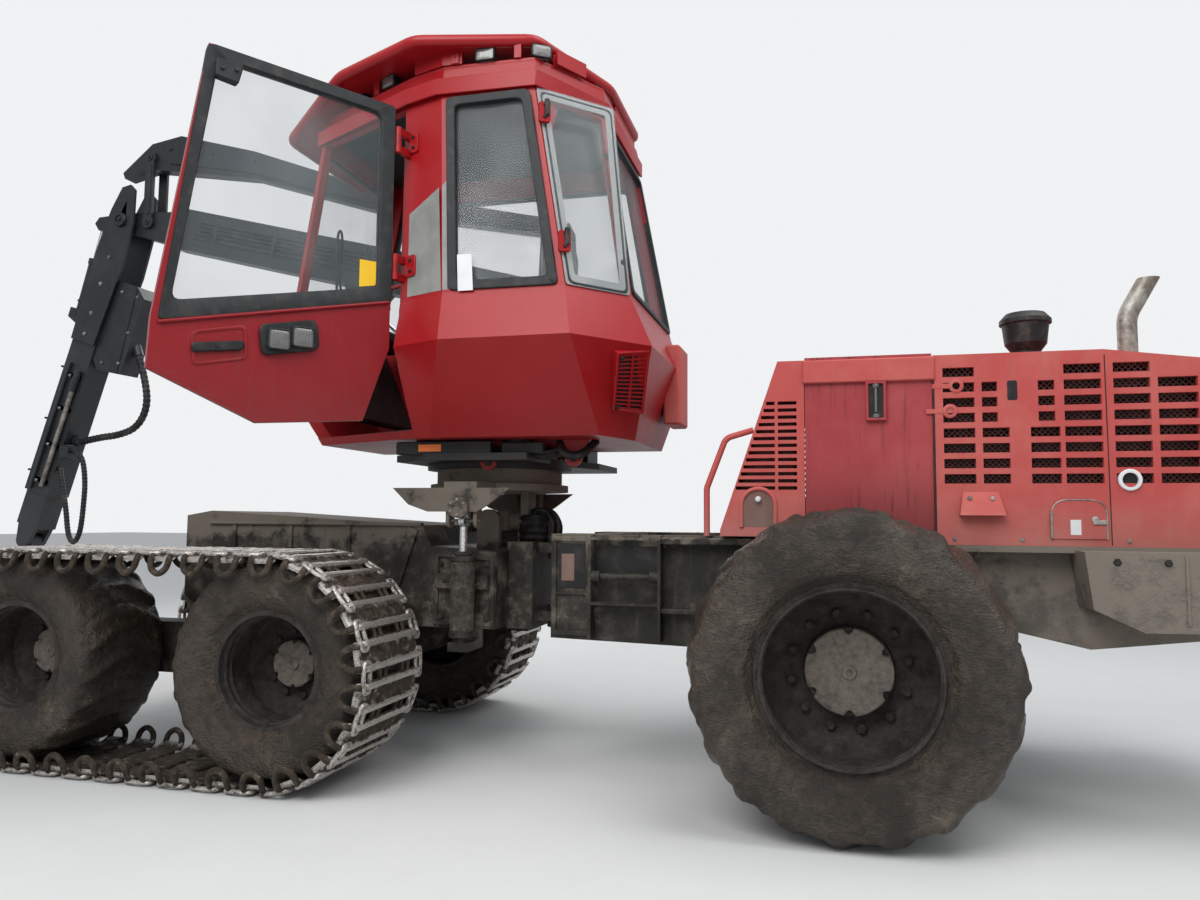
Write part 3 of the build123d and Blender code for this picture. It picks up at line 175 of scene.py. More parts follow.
def mud(name, wet, fine, dark, mid, pale):
    """Smeared mud: dark hollows, paler dried crests, wet patches that shine."""
    m = Finish(name, Metallic=0.0, Specular_IOR_Level=0.35)
    broad = m.noise(2.6 * fine, 5, 0.62, distortion=0.6)
    clots = m.noise(13 * fine, 6, 0.66)
    grit = m.noise(95 * fine, 3, 0.7)
    height = broad * 0.35 + clots * 0.5 + grit * 0.15
    colour = m.blend(height.rise(0.38, 0.56), dark, mid)
    colour = m.blend((clots * 0.6 + broad * 0.4).rise(0.54, 0.72) * 0.8, colour, pale)
    shine = m.noise(4.5 * fine, 4, 0.6).rise(0.42, 0.56)
    m.feed(Base_Color=colour, Roughness=(0.92 - shine * wet * 0.8 + grit * 0.12).clipped())
    m.relief(clots * 0.9 + grit * 0.35 + broad, 0.026)


def wet_mud(name):
    """Wet mud on rubber: broad dark and paler smears with fine ripples, shining where it is wettest."""
    m = Finish(name, Metallic=0.0, Specular_IOR_Level=0.5)
    broad = m.noise(2.2, 4, 0.6, distortion=0.5)
    clots = m.noise(24, 5, 0.62, distortion=0.3)
    ripple = m.noise(55, 4, 0.62, stretch=(1, 1, 2.0), distortion=0.3)
    grit = m.noise(170, 2, 0.7)
    colour = m.blend((broad * 0.5 + clots * 0.35 + ripple * 0.15).rise(0.42, 0.6), MUD_DARK, MUD_MID)
    colour = m.blend((clots * 0.4 + broad * 0.6).rise(0.57, 0.7) * 0.6, colour, MUD_PALE)
    m.feed(Base_Color=colour, Roughness=(0.68 - broad.rise(0.36, 0.56) * 0.45 + grit * 0.1).clipped())
    m.relief(clots * 0.7 + ripple * 0.45 + grit * 0.1, 0.03)


def paint(name, colour, faded, dirt, low, high, dust=DUST, rough=0.38, streaks=0.35, scuffs=0.35,
        coat=0.25, sheen=0.3):
    """Old machine paint: faded patches, run-down streaks, scuffs, and a colour that thickens towards low: dust on
    most parts, painted shade on the tank's lower part, and painted shade with mud on the door's.
    """
    m = Finish(name, Coat_Weight=coat, Coat_Roughness=0.32, Specular_IOR_Level=sheen)
    broad = m.noise(1.3, 4, 0.6)
    patch = m.noise(6.5, 5, 0.62)
    grain = m.noise(190, 2, 0.7)
    runs = m.noise(1.0, 5, 0.7, stretch=(26, 26, 1.6))
    scratch = m.noise(3.0, 6, 0.75, stretch=(7, 7, 22), distortion=1.2)
    base = m.blend((broad * 0.6 + patch * 0.4).rise(0.4, 0.66), colour, faded)
    base = m.blend(scratch.rise(0.66, 0.72) * patch.rise(0.45, 0.6) * scuffs, base, rgb(0.42, 0.33, 0.29))
    # Towards low the colour turns to the dust argument: dust on most parts, painted shade on the tank, painted shade
    # and mud on the door
    low_dust_and_shade = m.axis("Z").rise(high, low)
    soil = (low_dust_and_shade * (0.35 + patch) + runs.rise(0.5, 0.75) * streaks + grain.rise(0.58, 0.7) * 0.12) * dirt
    soil = soil.clipped()
    base = m.blend(soil, base, dust)
    m.feed(Base_Color=base, Roughness=(soil * 0.45 + patch * 0.14 + (rough - 0.05)).clipped())
    m.relief(patch * 0.25 + grain * 0.35 + soil * 0.6, 0.0012)


def frame_soil(name):
    """Black frame paint under oily dirt, with beige dried mud in patches, run-down streaks and a dusty rear."""
    m = Finish(name, Specular_IOR_Level=0.3)
    broad = m.noise(2.2, 5, 0.65, distortion=0.5)
    patch = m.noise(8.5, 6, 0.68)
    grit = m.noise(120, 3, 0.7)
    runs = m.noise(1.0, 5, 0.7, stretch=(17, 17, 1.8))
    rear = m.axis("X").rise(-0.2, -1.3)
    top = m.axis("Z").rise(1.2, 1.34) * 0.9
    base = m.blend((patch * 0.6 + broad * 0.4).rise(0.4, 0.6), rgb(0.014, 0.0128, 0.0105), rgb(0.052, 0.044, 0.034))
    dried = (broad * 0.5 + patch * 0.5 + rear * 0.13 + top * 0.16).rise(0.51, 0.63) * 0.85
    base = m.blend(dried, base, rgb(0.16, 0.135, 0.108))
    base = m.blend((runs.rise(0.55, 0.75) * 0.55).clipped(), base, rgb(0.085, 0.072, 0.058))
    base = m.blend((rear * 0.55).clipped(), base, rgb(0.22, 0.19, 0.158))
    m.feed(Base_Color=base, Roughness=(dried * 0.3 + patch * 0.3 + 0.45).clipped())
    m.relief(patch * 0.6 + grit * 0.3 + dried * 0.8, 0.006)


def dull_metal(name, dark, pale, metal=0.7, rough=0.5, grain_scale=60):
    """Bare or oiled steel with stains."""
    m = Finish(name, Metallic=metal)
    stain = m.noise(9, 5, 0.65)
    grain = m.noise(grain_scale, 4, 0.7)
    m.feed(Base_Color=m.blend((stain * 0.7 + grain * 0.3).rise(0.4, 0.62), dark, pale),
        Roughness=(stain * 0.35 + (rough - 0.15)).clipped())
    m.relief(grain + stain * 0.5, 0.0015)


def worn_steel(name):
    """Track plates: muddy steel that is rubbed bright where the wear attribute is high."""
    m = Finish(name)
    wear = m.attribute("wear")
    clots = m.noise(22, 5, 0.7)
    grit = m.noise(120, 3, 0.7)
    rubbed = (wear + clots * 1.1 - 0.8).rise(0.12, 0.4)
    steel = m.blend(grit.rise(0.4, 0.62), rgb(0.34, 0.31, 0.28), rgb(0.6, 0.57, 0.53))
    soil = m.blend(clots.rise(0.4, 0.62), MUD_DARK, MUD_MID)
    m.feed(Base_Color=m.blend(rubbed, soil, steel), Metallic=rubbed * 0.75,
        Roughness=(0.88 - rubbed * 0.5 + grit * 0.08).clipped())
    m.relief(clots + grit * 0.3 - rubbed * 0.3, 0.006)


def rubber(name, colour, dust_share=0.25):
    """Dusty rubber with a fine grain."""
    m = Finish(name, Specular_IOR_Level=0.35)
    patch = m.noise(14, 4, 0.6)
    grain = m.noise(240, 2, 0.6)
    soil = (patch.rise(0.45, 0.75) * dust_share * 1.6).clipped()
    m.feed(Base_Color=m.blend(soil, colour, DUST), Roughness=soil * 0.25 + 0.55)
    m.relief(grain * 0.3 + patch * 0.3, 0.0016)


def glazing(name, tint, clear=0.13, dusty=0.16):
    """Window glass with a film of dust that is thicker in drifts, and with specks."""
    m = Finish(name, IOR=1.45, Specular_IOR_Level=0.6)
    drift = m.noise(1.6, 3, 0.5, distortion=0.4)
    specks = m.noise(160, 2, 0.7)
    film = (drift.rise(0.42, 0.75) * dusty + specks.rise(0.6, 0.7) * 0.025).clipped()
    m.feed(Base_Color=m.blend(film, tint, rgb(0.55, 0.56, 0.54)), Roughness=film * 0.5 + 0.04,
        Alpha=(film * 0.5 + clear).clipped())


def lens(name, colour):
    """A lamp's ribbed glass over its reflector."""
    m = Finish(name, Coat_Weight=1.0, Coat_Roughness=0.05)
    ribs = (m.axis("X") * 700).wave() * 0.5 + 0.5
    patch = m.noise(30, 4, 0.6)
    m.feed(Base_Color=m.blend(patch.rise(0.3, 0.8) * 0.4 + ribs * 0.2, colour, rgb(0.2, 0.195, 0.185)),
        Roughness=patch * 0.25 + 0.18, Metallic=ribs * 0.3 + 0.25)
    m.relief(ribs, 0.001)


def woven(name, colour):
    """Seat cloth with a plain weave and rubbed patches."""
    m = Finish(name, Sheen_Weight=0.3)
    weave = (m.axis("X") * 1900).wave() * (m.axis("Y") * 1900).wave() * 0.5 + 0.5
    patch = m.noise(9, 4, 0.6)
    m.feed(Base_Color=m.blend(patch.rise(0.4, 0.7) * 0.6, colour, rgb(0.09, 0.085, 0.08)),
        Roughness=patch * 0.1 + 0.82)
    m.relief(weave + patch, 0.0012)


def make_materials():
    """Makes every finish that pieces and CAD nodes ask for."""
    paints = bpy.context.scene.harvester_paint
    cab, hood, tank = tuple(paints.cab), tuple(paints.hood), tuple(paints.tank)
    wet_mud("tyre_mud")
    mud("rim_mud", 0.6, 1.6, rgb(0.02, 0.017, 0.015), rgb(0.05, 0.042, 0.036), rgb(0.11, 0.09, 0.075))
    mud("hub_mud", 0.35, 2.2, rgb(0.1, 0.085, 0.07), rgb(0.2, 0.17, 0.14), rgb(0.3, 0.26, 0.215))
    frame_soil("frame_dirt")
    worn_steel("track_steel")
    paint("cab_red", cab, (cab[0] * 1.12, cab[1] * 2.2, cab[2] * 1.8, 1), 0.3, 1.6, 2.2, rgb(0.1, 0.05, 0.04), 0.36,
        streaks=0.2, scuffs=0.3, coat=0.22, sheen=0.22)
    paint("hood_red", hood, (hood[0] * 1.12, hood[1] * 1.7, hood[2] * 1.6, 1), 0.4, 1.2, 1.6, rough=0.56,
        streaks=0.3, scuffs=0.4, coat=0.0, sheen=0.3)
    # Its dark colour is both the dark run-down stains and painted shade on the tank's lower part
    paint("tank_red", tank, (tank[0] * 1.15, tank[1] * 1.7, tank[2] * 1.5, 1), 0.8, 1.25, 1.75,
        rgb(0.12, 0.03, 0.028), 0.5, 1.0, 0.3, 0.05, 0.25)
    paint("crane_black", rgb(0.011, 0.0125, 0.0145), rgb(0.024, 0.027, 0.031), 0.16, 0.4, 2.2, rgb(0.14, 0.12, 0.1),
        0.42, 0.35, 0.5, 0.2)
    paint("head_paint", rgb(0.2, 0.02, 0.018), rgb(0.24, 0.06, 0.05), 0.7, 0.1, 1.0, rgb(0.1, 0.085, 0.07),
        0.55, 0.5, 0.8, 0.0)
    dull_metal("rod_chrome", rgb(0.62, 0.62, 0.62), rgb(0.75, 0.75, 0.74), 1.0, 0.22, 300)
    dull_metal("bare_steel", rgb(0.16, 0.14, 0.125), rgb(0.4, 0.37, 0.33), 0.8, 0.5)
    dull_metal("exhaust_steel", rgb(0.2, 0.17, 0.14), rgb(0.42, 0.4, 0.36), 0.75, 0.5, 40)
    dull_metal("engine_iron", rgb(0.05, 0.047, 0.044), rgb(0.12, 0.11, 0.1), 0.4, 0.7)
    rubber("black_plastic", rgb(0.009, 0.009, 0.01), 0.12)
    rubber("seal_rubber", rgb(0.009, 0.011, 0.013), 0.06)
    rubber("hose_rubber", rgb(0.008, 0.008, 0.009), 0.12)
    rubber("hose_wrap", rgb(0.016, 0.018, 0.022), 0.12)
    glazing("cab_glass", rgb(0.2, 0.235, 0.24))
    paint("pane_edge", rgb(0.30, 0.31, 0.31), rgb(0.38, 0.39, 0.38), 0.2, 0, 1, coat=0.2)
    mud("barrel_mud", 0.4, 2.4, rgb(0.03, 0.026, 0.021), rgb(0.09, 0.076, 0.06), rgb(0.27, 0.23, 0.18))
    lens("lamp_lens", rgb(0.12, 0.12, 0.115))
    woven("seat_fabric", rgb(0.018, 0.018, 0.02))
    paint("white_label", rgb(0.68, 0.68, 0.68), rgb(0.6, 0.6, 0.6), 0.15, 0, 1, coat=0)
    paint("grey_label", rgb(0.2, 0.2, 0.19), rgb(0.3, 0.3, 0.28), 0.3, 0, 1, streaks=0.8, scuffs=1.0, coat=0)
    paint("yellow_label", rgb(0.75, 0.42, 0.01), rgb(0.8, 0.5, 0.02), 0.15, 0, 1, coat=0.1)
    paint("amber", rgb(0.75, 0.14, 0.01), rgb(0.8, 0.2, 0.02), 0.3, 0, 1, coat=0.6)
    # A darker copy of the cab's paint, painted shade on the open door; darker still towards the bottom, painted shade
    # of the leaning belly and mud
    paint("door_red_painted_shade", (cab[0] * 0.72, cab[1], cab[2], 1), (cab[0] * 0.78, cab[1] * 1.8, cab[2] * 1.6, 1), 0.5, 1.5,
        2.3, rgb(0.09, 0.04, 0.035), 0.36, streaks=0.4, scuffs=0.5, coat=0.22, sheen=0.22)
    paint("slew_black", rgb(0.012, 0.012, 0.011), rgb(0.024, 0.022, 0.02), 0.35, 1.3, 1.9, rgb(0.06, 0.052, 0.044),
        0.5, 0.5, 0.3, 0.0)
    dull_metal("wire_mesh", rgb(0.09, 0.03, 0.025), rgb(0.2, 0.07, 0.06), 0.3, 0.6, 200)
    # Near-black: painted shade in recesses, slots, openings and bores, and plain black on the cab's lining, the
    # hood's seams and the disc on the door's grip
    rubber("painted_shade_and_black", rgb(0.008, 0.008, 0.008), 0.05)
    # Darker red: painted shade in the cowl's arch and behind it, and a dirty red label on the rear frame
    paint("red_painted_shade_and_dirt", rgb(0.09, 0.012, 0.01), rgb(0.12, 0.02, 0.018), 0.5, 1.2, 2.2, coat=0)


# Finishes of CAD nodes: by the node, by the record's slot, or else the finish named as the slot is
NODE_FINISH = {"cab_door": "door_red_painted_shade", "slew_table": "slew_black"}
SLOT_FINISH = {"tyre_rubber": "tyre_mud", "rim_steel": "rim_mud", "frame_paint": "frame_dirt"}


# Surfaces


class Shape:
    """Rings of points gathered into one mesh."""

    def __init__(self):
        self.points = []
        self.corners = []
        self.sizes = []
        self.wear = []
        self.count = 0

    def add(self, rings, around=True, closed=False, wear=0.0):
        """Joins each ring to the next with quads. rings is copies x rings x points x 3, or has no copies.

        around closes each ring, and closed joins the last ring to the first. Rings that are closed round have both
        ends covered, unless the last joins the first.
        """
        rings = np.asarray(rings, float)
        rings = rings[None] if rings.ndim == 3 else rings
        shape = rings.shape[:3]
        index = self.count + np.arange(np.prod(shape)).reshape(shape)
        self.count += index.size
        grid = np.concatenate([index, index[:, :1]], 1) if closed else index
        grid = np.concatenate([grid, grid[:, :, :1]], 2) if around else grid
        quads = np.stack([grid[:, :-1, :-1], grid[:, :-1, 1:], grid[:, 1:, 1:], grid[:, 1:, :-1]], -1)
        self.corners.append(quads.reshape(-1))
        self.sizes.append(np.full(quads.size // 4, 4))
        if around and not closed:
            ends = np.concatenate([index[:, 0, ::-1], index[:, -1]])
            self.corners.append(ends.reshape(-1))
            self.sizes.append(np.full(len(ends), shape[2]))
        self.points.append(rings.reshape(-1, 3))
        self.wear.append(np.broadcast_to(np.asarray(wear, float), shape).reshape(-1))
        return self

    def piece(self, name, body, finish, sharp=35, slot=None, bevel=0.0, replaces=(), turn=True, wear=False):
        """Makes the mesh with its finish, riding on a body. The slot argument is not used."""
        points, corners = np.concatenate(self.points), np.concatenate(self.corners)
        sizes = np.concatenate(self.sizes)
        mesh = bpy.data.meshes.new(name)
        mesh.vertices.add(len(points))
        mesh.vertices.foreach_set("co", points.ravel())
        mesh.loops.add(len(corners))
        mesh.loops.foreach_set("vertex_index", corners.astype(np.int32))
        mesh.polygons.add(len(sizes))
        mesh.polygons.foreach_set("loop_start", np.concatenate([[0], np.cumsum(sizes)[:-1]]).astype(np.int32))
        mesh.update(calc_edges=True)
        if wear:
            mesh.attributes.new("wear", "FLOAT", "POINT").data.foreach_set("value", np.concatenate(self.wear))
        if turn:
            work = bmesh.new()
            work.from_mesh(mesh)
            bmesh.ops.recalc_face_normals(work, faces=work.faces)
            work.to_mesh(mesh)
            work.free()
        mesh.shade_smooth()
        mesh.set_sharp_from_angle(angle=math.radians(sharp))
        mesh.materials.append(MATERIALS[finish])
        made = bpy.data.objects.new(name, mesh)
        bpy.context.scene.collection.objects.link(made)
        if bevel:
            edge = made.modifiers.new("edges", "BEVEL")
            edge.width, edge.segments, edge.limit_method = bevel, 2, "ANGLE"
            edge.angle_limit = math.radians(40)
        if body:
            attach(made, body)
        if replaces:
            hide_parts(*replaces)
        return made


def shapes(count):
    return [Shape() for _ in range(count)]


def vec(*numbers):
    return np.array(numbers, float)


def unit(vector):
    return np.asarray(vector, float) / np.linalg.norm(vector)


def units(vectors):
    """Each vector of an array at a length of 1."""
    return vectors / np.linalg.norm(vectors, axis=1)[:, None]


def all_round(count):
    """Angles that divide a whole turn into equal steps."""
    return np.linspace(0, 2 * math.pi, count, endpoint=False)


class Plane:
    """A flat place with an origin and two directions across it; the third points out of it."""

    def __init__(self, origin, across, up):
        self.origin = np.asarray(origin, float)
        self.across = unit(across)
        self.out = unit(np.cross(self.across, up))
        self.up = np.cross(self.out, self.across)

    def at(self, x, y, depth=0.0):
        """The points at x across, y up and a depth out of the plane, as arrays or numbers."""
        x, y, depth = np.broadcast_arrays(x, y, depth)
        return (self.origin + x[..., None] * self.across + y[..., None] * self.up + depth[..., None] * self.out)

    def ring(self, outline, depth=0.0):
        """The points of an outline at a depth out of the plane."""
        return self.at(outline[:, 0], outline[:, 1], depth)


LEVEL = Plane((0, 0, 0), (1, 0, 0), (0, 1, 0))


def side_plane(side, y):
    """The plane of a side face, running towards the rear on the left side, so that its normal points out."""
    return Plane((0, side * y, 0), (-side, 0, 0), (0, 0, 1))


def outline_inset(points, distance):
    """An outline moved inwards: each corner slides along the line that halves it."""
    points = np.asarray(points, float)
    before, after = units(np.roll(points, 1, 0) - points), units(np.roll(points, -1, 0) - points)
    area = np.sum(points[:, 0] * np.roll(points[:, 1], -1) - np.roll(points[:, 0], -1) * points[:, 1])
    normal = np.stack([-after[:, 1], after[:, 0]], 1) * np.sign(area)
    bisector = before + after
    flat = np.linalg.norm(bisector, axis=1) < 1e-6
    bisector[flat] = normal[flat]
    bisector = units(bisector)
    reach = distance / np.sum(bisector * normal, 1)
    return points + bisector * reach[:, None]


def rounded(points, radius, steps=5):
    """An outline whose corners are arcs: each arc is a quadratic curve between two points on its edges."""
    points = np.asarray(points, float)
    made = []
    t = np.linspace(0, 1, steps)[:, None]
    for before, corner, after in zip(np.roll(points, 1, 0), points, np.roll(points, -1, 0)):
        a = corner + unit(before - corner) * min(radius, np.linalg.norm(before - corner) * 0.49)
        b = corner + unit(after - corner) * min(radius, np.linalg.norm(after - corner) * 0.49)
        made.append((1 - t) ** 2 * a + 2 * t * (1 - t) * corner + t ** 2 * b)
    return np.concatenate(made)


def slab(shape, plane, outline, low, high, edge=0.002, radius=0.0):
    """A plate on a plane between two depths, its corners rounded by a radius and its rim eased near both faces."""
    outline = rounded(outline, radius) if radius else np.asarray(outline, float)
    inner = outline_inset(outline, edge)
    levels = [(inner, low), (outline, low + edge), (outline, high - edge), (inner, high)]
    return shape.add([plane.ring(ring, depth) for ring, depth in levels])


def rect(x0, x1, y0, y1):
    """The four corners of a rectangle, round from (x0, y0) by way of (x1, y0)."""
    return [(x0, y0), (x1, y0), (x1, y1), (x0, y1)]


def round_axis(axis, sides):
    """Points a metre from an axis, all round it: cosine and sine of the turn along two directions across it."""
    across = unit(np.cross(axis, (0, 0, 1) if abs(axis[2]) < 0.9 else (1, 0, 0)))
    angle = all_round(sides)[:, None]
    return np.cos(angle) * across + np.sin(angle) * np.cross(axis, across)


def rod(shape, start, end, radius, sides=16, edge=0.0):
    """A round bar between two points, its ends eased by a smaller ring."""
    start, end = np.asarray(start, float), np.asarray(end, float)
    axis = unit(end - start)
    ring = round_axis(axis, sides)
    stations = [(0, radius - edge), (edge, radius), (-edge, radius), (0, radius - edge)]
    ends = [start, start, end, end]
    if not edge:
        stations, ends = stations[1:3], ends[1:3]
    return shape.add([place + axis * step + ring * size for place, (step, size) in zip(ends, stations)])


def smooth_path(points, steps=8):
    """A smooth line through a few points: a cubic between each pair with slopes from their neighbours."""
    points = np.asarray(points, float)
    padded = np.concatenate([2 * points[:1] - points[1:2], points, 2 * points[-1:] - points[-2:-1]])
    p0, p1, p2, p3 = padded[:-3], padded[1:-2], padded[2:-1], padded[3:]
    t = np.linspace(0, 1, steps, endpoint=False)[:, None, None]
    line = 0.5 * (2 * p1 + (p2 - p0) * t + (2 * p0 - 5 * p1 + 4 * p2 - p3) * t ** 2 + (3 * p1 - p0 - 3 * p2 + p3)
        * t ** 3)
    return np.concatenate([line.transpose(1, 0, 2).reshape(-1, 3), points[-1:]])


def carried(path, profile, up, closed=False):
    """Rings of a profile of (sideways, upwards) points along a line, upright to a fixed direction."""
    path = np.asarray(path, float)
    ahead = units(np.roll(path, -1, 0) - np.roll(path, 1, 0) if closed else np.gradient(path, axis=0))
    side = units(np.cross(ahead, up))
    top = np.cross(side, ahead)
    profile = np.asarray(profile, float)
    return path[:, None] + profile[None, :, :1] * side[:, None] + profile[None, :, 1:] * top[:, None]


def along_path(shape, path, profile, up, closed=False):
    """A bar with a profile of (sideways, upwards) points, carried along a line."""
    return shape.add(carried(path, profile, up, closed), closed=closed)


def circle(radius, sides=12):
    angle = all_round(sides)
    return np.stack([radius * np.cos(angle), radius * np.sin(angle)], 1)


def hose(shape, points, radius):
    """A round hose along a smooth line through a few points."""
    return along_path(shape, smooth_path(points), circle(radius), (0, 1, 0))


def block(shape, low, high, edge=0.004, radius=0.0):
    """A box between two corners, its upright edges rounded by a radius and the others eased."""
    low, high = np.minimum(low, high), np.maximum(low, high)
    return slab(shape, LEVEL, rect(low[0], high[0], low[1], high[1]), low[2], high[2], edge, radius)


def sheet_place(points):
    """The plane through corners that run anticlockwise as seen from outside, and their places on it."""
    points = np.asarray(points, float)
    plane = Plane(points[0], points[1] - points[0], points[-1] - points[0])
    local = points - points[0]
    return plane, np.stack([local @ plane.across, local @ plane.up], 1)


def panel(shape, points, low, high, radius=0.0, edge=0.002):
    """A plate over the corners of a flat face, from a height low to high above it."""
    plane, outline = sheet_place(points)
    return slab(shape, plane, outline, low, high, edge, radius)


def framed(shape, plane, outer, inner, section):
    """A bar between an outer and an inner outline, with a section of (share from outer to inner, depth)."""
    rings = [plane.ring(outer * (1 - share) + inner * share, depth) for share, depth in section]
    return shape.add(rings, closed=True)


def trim(shape, points, width, low, high, radius=0.02, edge=0.004):
    """A frame inside the corners of a flat face; its cross-section has two eased edges."""
    plane, outline = sheet_place(points)
    outer, inner = rounded(outline, radius), rounded(outline_inset(outline, width), radius)
    share = edge / width
    section = [(0, low), (0, high - edge), (share, high), (1 - share, high), (1, high - edge), (1, low)]
    return framed(shape, plane, outer, inner, section)


def lathe(shape, centre, axis, profile, sides=32, closed=False):
    """A turned form: (distance along the axis, radius) points swept round it; closed makes a sleeve of it."""
    axis = unit(axis)
    ring = round_axis(axis, sides)
    return shape.add([np.asarray(centre) + axis * along + ring * radius for along, radius in profile], closed=closed)


def outline_3d(points, distance):
    """The corners of a flat face moved inwards by a distance."""
    plane, outline = sheet_place(points)
    moved = outline_inset(outline, distance)
    return plane.ring(moved)


def work_lamp(housing, glass, centre, turn, half_width, half_height, half_depth):
    """A square lamp that faces a direction in plan: a tapered housing with fins, a bezel and a bulging lens."""
    along = vec(-math.sin(turn), math.cos(turn), 0)
    plane = Plane(vec(*centre), along, (0, 0, 1))
    square = rounded(rect(-1, 1, -1, 1), 0.3, 4) * (half_width, half_height)
    levels = [(-half_depth, 0.55), (-half_depth * 0.4, 0.8), (half_depth * 0.5, 0.95), (half_depth * 0.55, 1.0),
        (half_depth * 0.95, 1.0), (half_depth, 0.96), (half_depth, 0.86), (half_depth * 0.8, 0.84)]
    housing.add([plane.ring(square * share, depth) for depth, share in levels])
    for fin in (-0.5, 0.0, 0.5):
        upright = Plane(plane.at(fin * half_width, 0, -half_depth * 0.2), along, (0, 0, 1))
        slab(housing, upright, rect(-0.003, 0.003, -half_height * 0.85, half_height * 0.85), -half_depth * 0.75,
            half_depth * 0.6, 0.001)
    bulge = [(half_depth * 0.78, 0.86), (half_depth * 0.97, 0.84), (half_depth * 1.02, 0.6),
        (half_depth * 1.05, 0.3), (half_depth * 1.055, 0.05)]
    glass.add([plane.ring(square * share, depth) for depth, share in bulge])


# Head of a bolt: (share of its height, share of its radius)
BOLT_PROFILE = np.array([(0.0, 1.4), (0.22, 1.35), (0.22, 1.0), (0.85, 1.0), (1.0, 0.8)])


def bolts(shape, places, direction, radius=0.012, height=0.01):
    """Hexagon heads on washers at several places."""
    axis = unit(direction)
    ring = round_axis(axis, 6) * radius
    rings = BOLT_PROFILE[:, :1, None] * height * axis + BOLT_PROFILE[:, 1:, None] * ring
    return shape.add(np.asarray(places, float).reshape(-1, 1, 1, 3) + rings)


def lattice(shape, plane, x0, x1, y0, y1, pitch, depth):
    """Expanded metal in a rectangle: rows of zigzag strands, each row's peaks on the next row's hollows."""
    strand = pitch * 0.09
    x = np.arange(x0, x1, pitch / 2)[None, :, None]
    rows = np.arange(y0, y1, pitch / 2)
    turns = np.arange(len(rows))[:, None, None] + np.arange(x.shape[1])[None, :, None]
    middle = rows[:, None, None] + np.where(turns % 2, 1, -1) * pitch / 4
    corners = np.array(rect(-strand, strand, 0.0, 0.003))
    return shape.add(plane.at(x + corners[:, 0] * 0, middle + corners[:, 0], depth + corners[:, 1]))


def lumps(points, cell, seed):
    """Smooth heights from 0 to 1: each corner of a lattice has its own height, blended inside each cell."""
    scaled = np.asarray(points, float) / cell + 1000.0
    base = np.floor(scaled).astype(np.int64)
    share = scaled - base
    share = share * share * (3 - 2 * share)
    total = np.zeros(scaled.shape[:-1])
    for corner in itertools.product((0, 1), repeat=3):
        place = base + corner
        mixed = place[..., 0] * 73856093 ^ place[..., 1] * 19349663 ^ place[..., 2] * 83492791 ^ seed * 2654435
        mixed = (mixed ^ (mixed >> 13)) * 1274126177 & 0xFFFFFFFF
        mixed = (mixed ^ (mixed >> 15)) * 2246822519 & 0xFFFFFFFF
        weight = np.prod(np.where(corner, share, 1 - share), axis=-1)
        total += weight * (mixed / 0xFFFFFFFF)
    return total


# Operators and their settings


def colour_property(name, description, default):
    return bpy.props.FloatVectorProperty(name=name, description=description, default=default, size=4, min=0,
        max=1, subtype="COLOR")


class HarvesterPaint(bpy.types.PropertyGroup):
    """Colours that a user would change."""

    cab: colour_property("Cab", "Paint of the cab and its door", (0.30, 0.004, 0.007, 1))
    hood: colour_property("Hood", "Paint of the hood and cowl", (0.43, 0.064, 0.058, 1))
    tank: colour_property("Tank", "Paint of the hydraulic tank", (0.32, 0.036, 0.042, 1))


class HarvesterSizes(bpy.types.PropertyGroup):
    """Sizes that a user would change."""

    mud_depth: bpy.props.FloatProperty(name="Mud depth", description="Height of the mud on the tyres", default=0.02,
        min=0, max=0.05, unit="LENGTH")
    hose_radius: bpy.props.FloatProperty(name="Hose radius", description="Radius of the crane's hoses",
        default=0.013, min=0.004, max=0.03, unit="LENGTH")


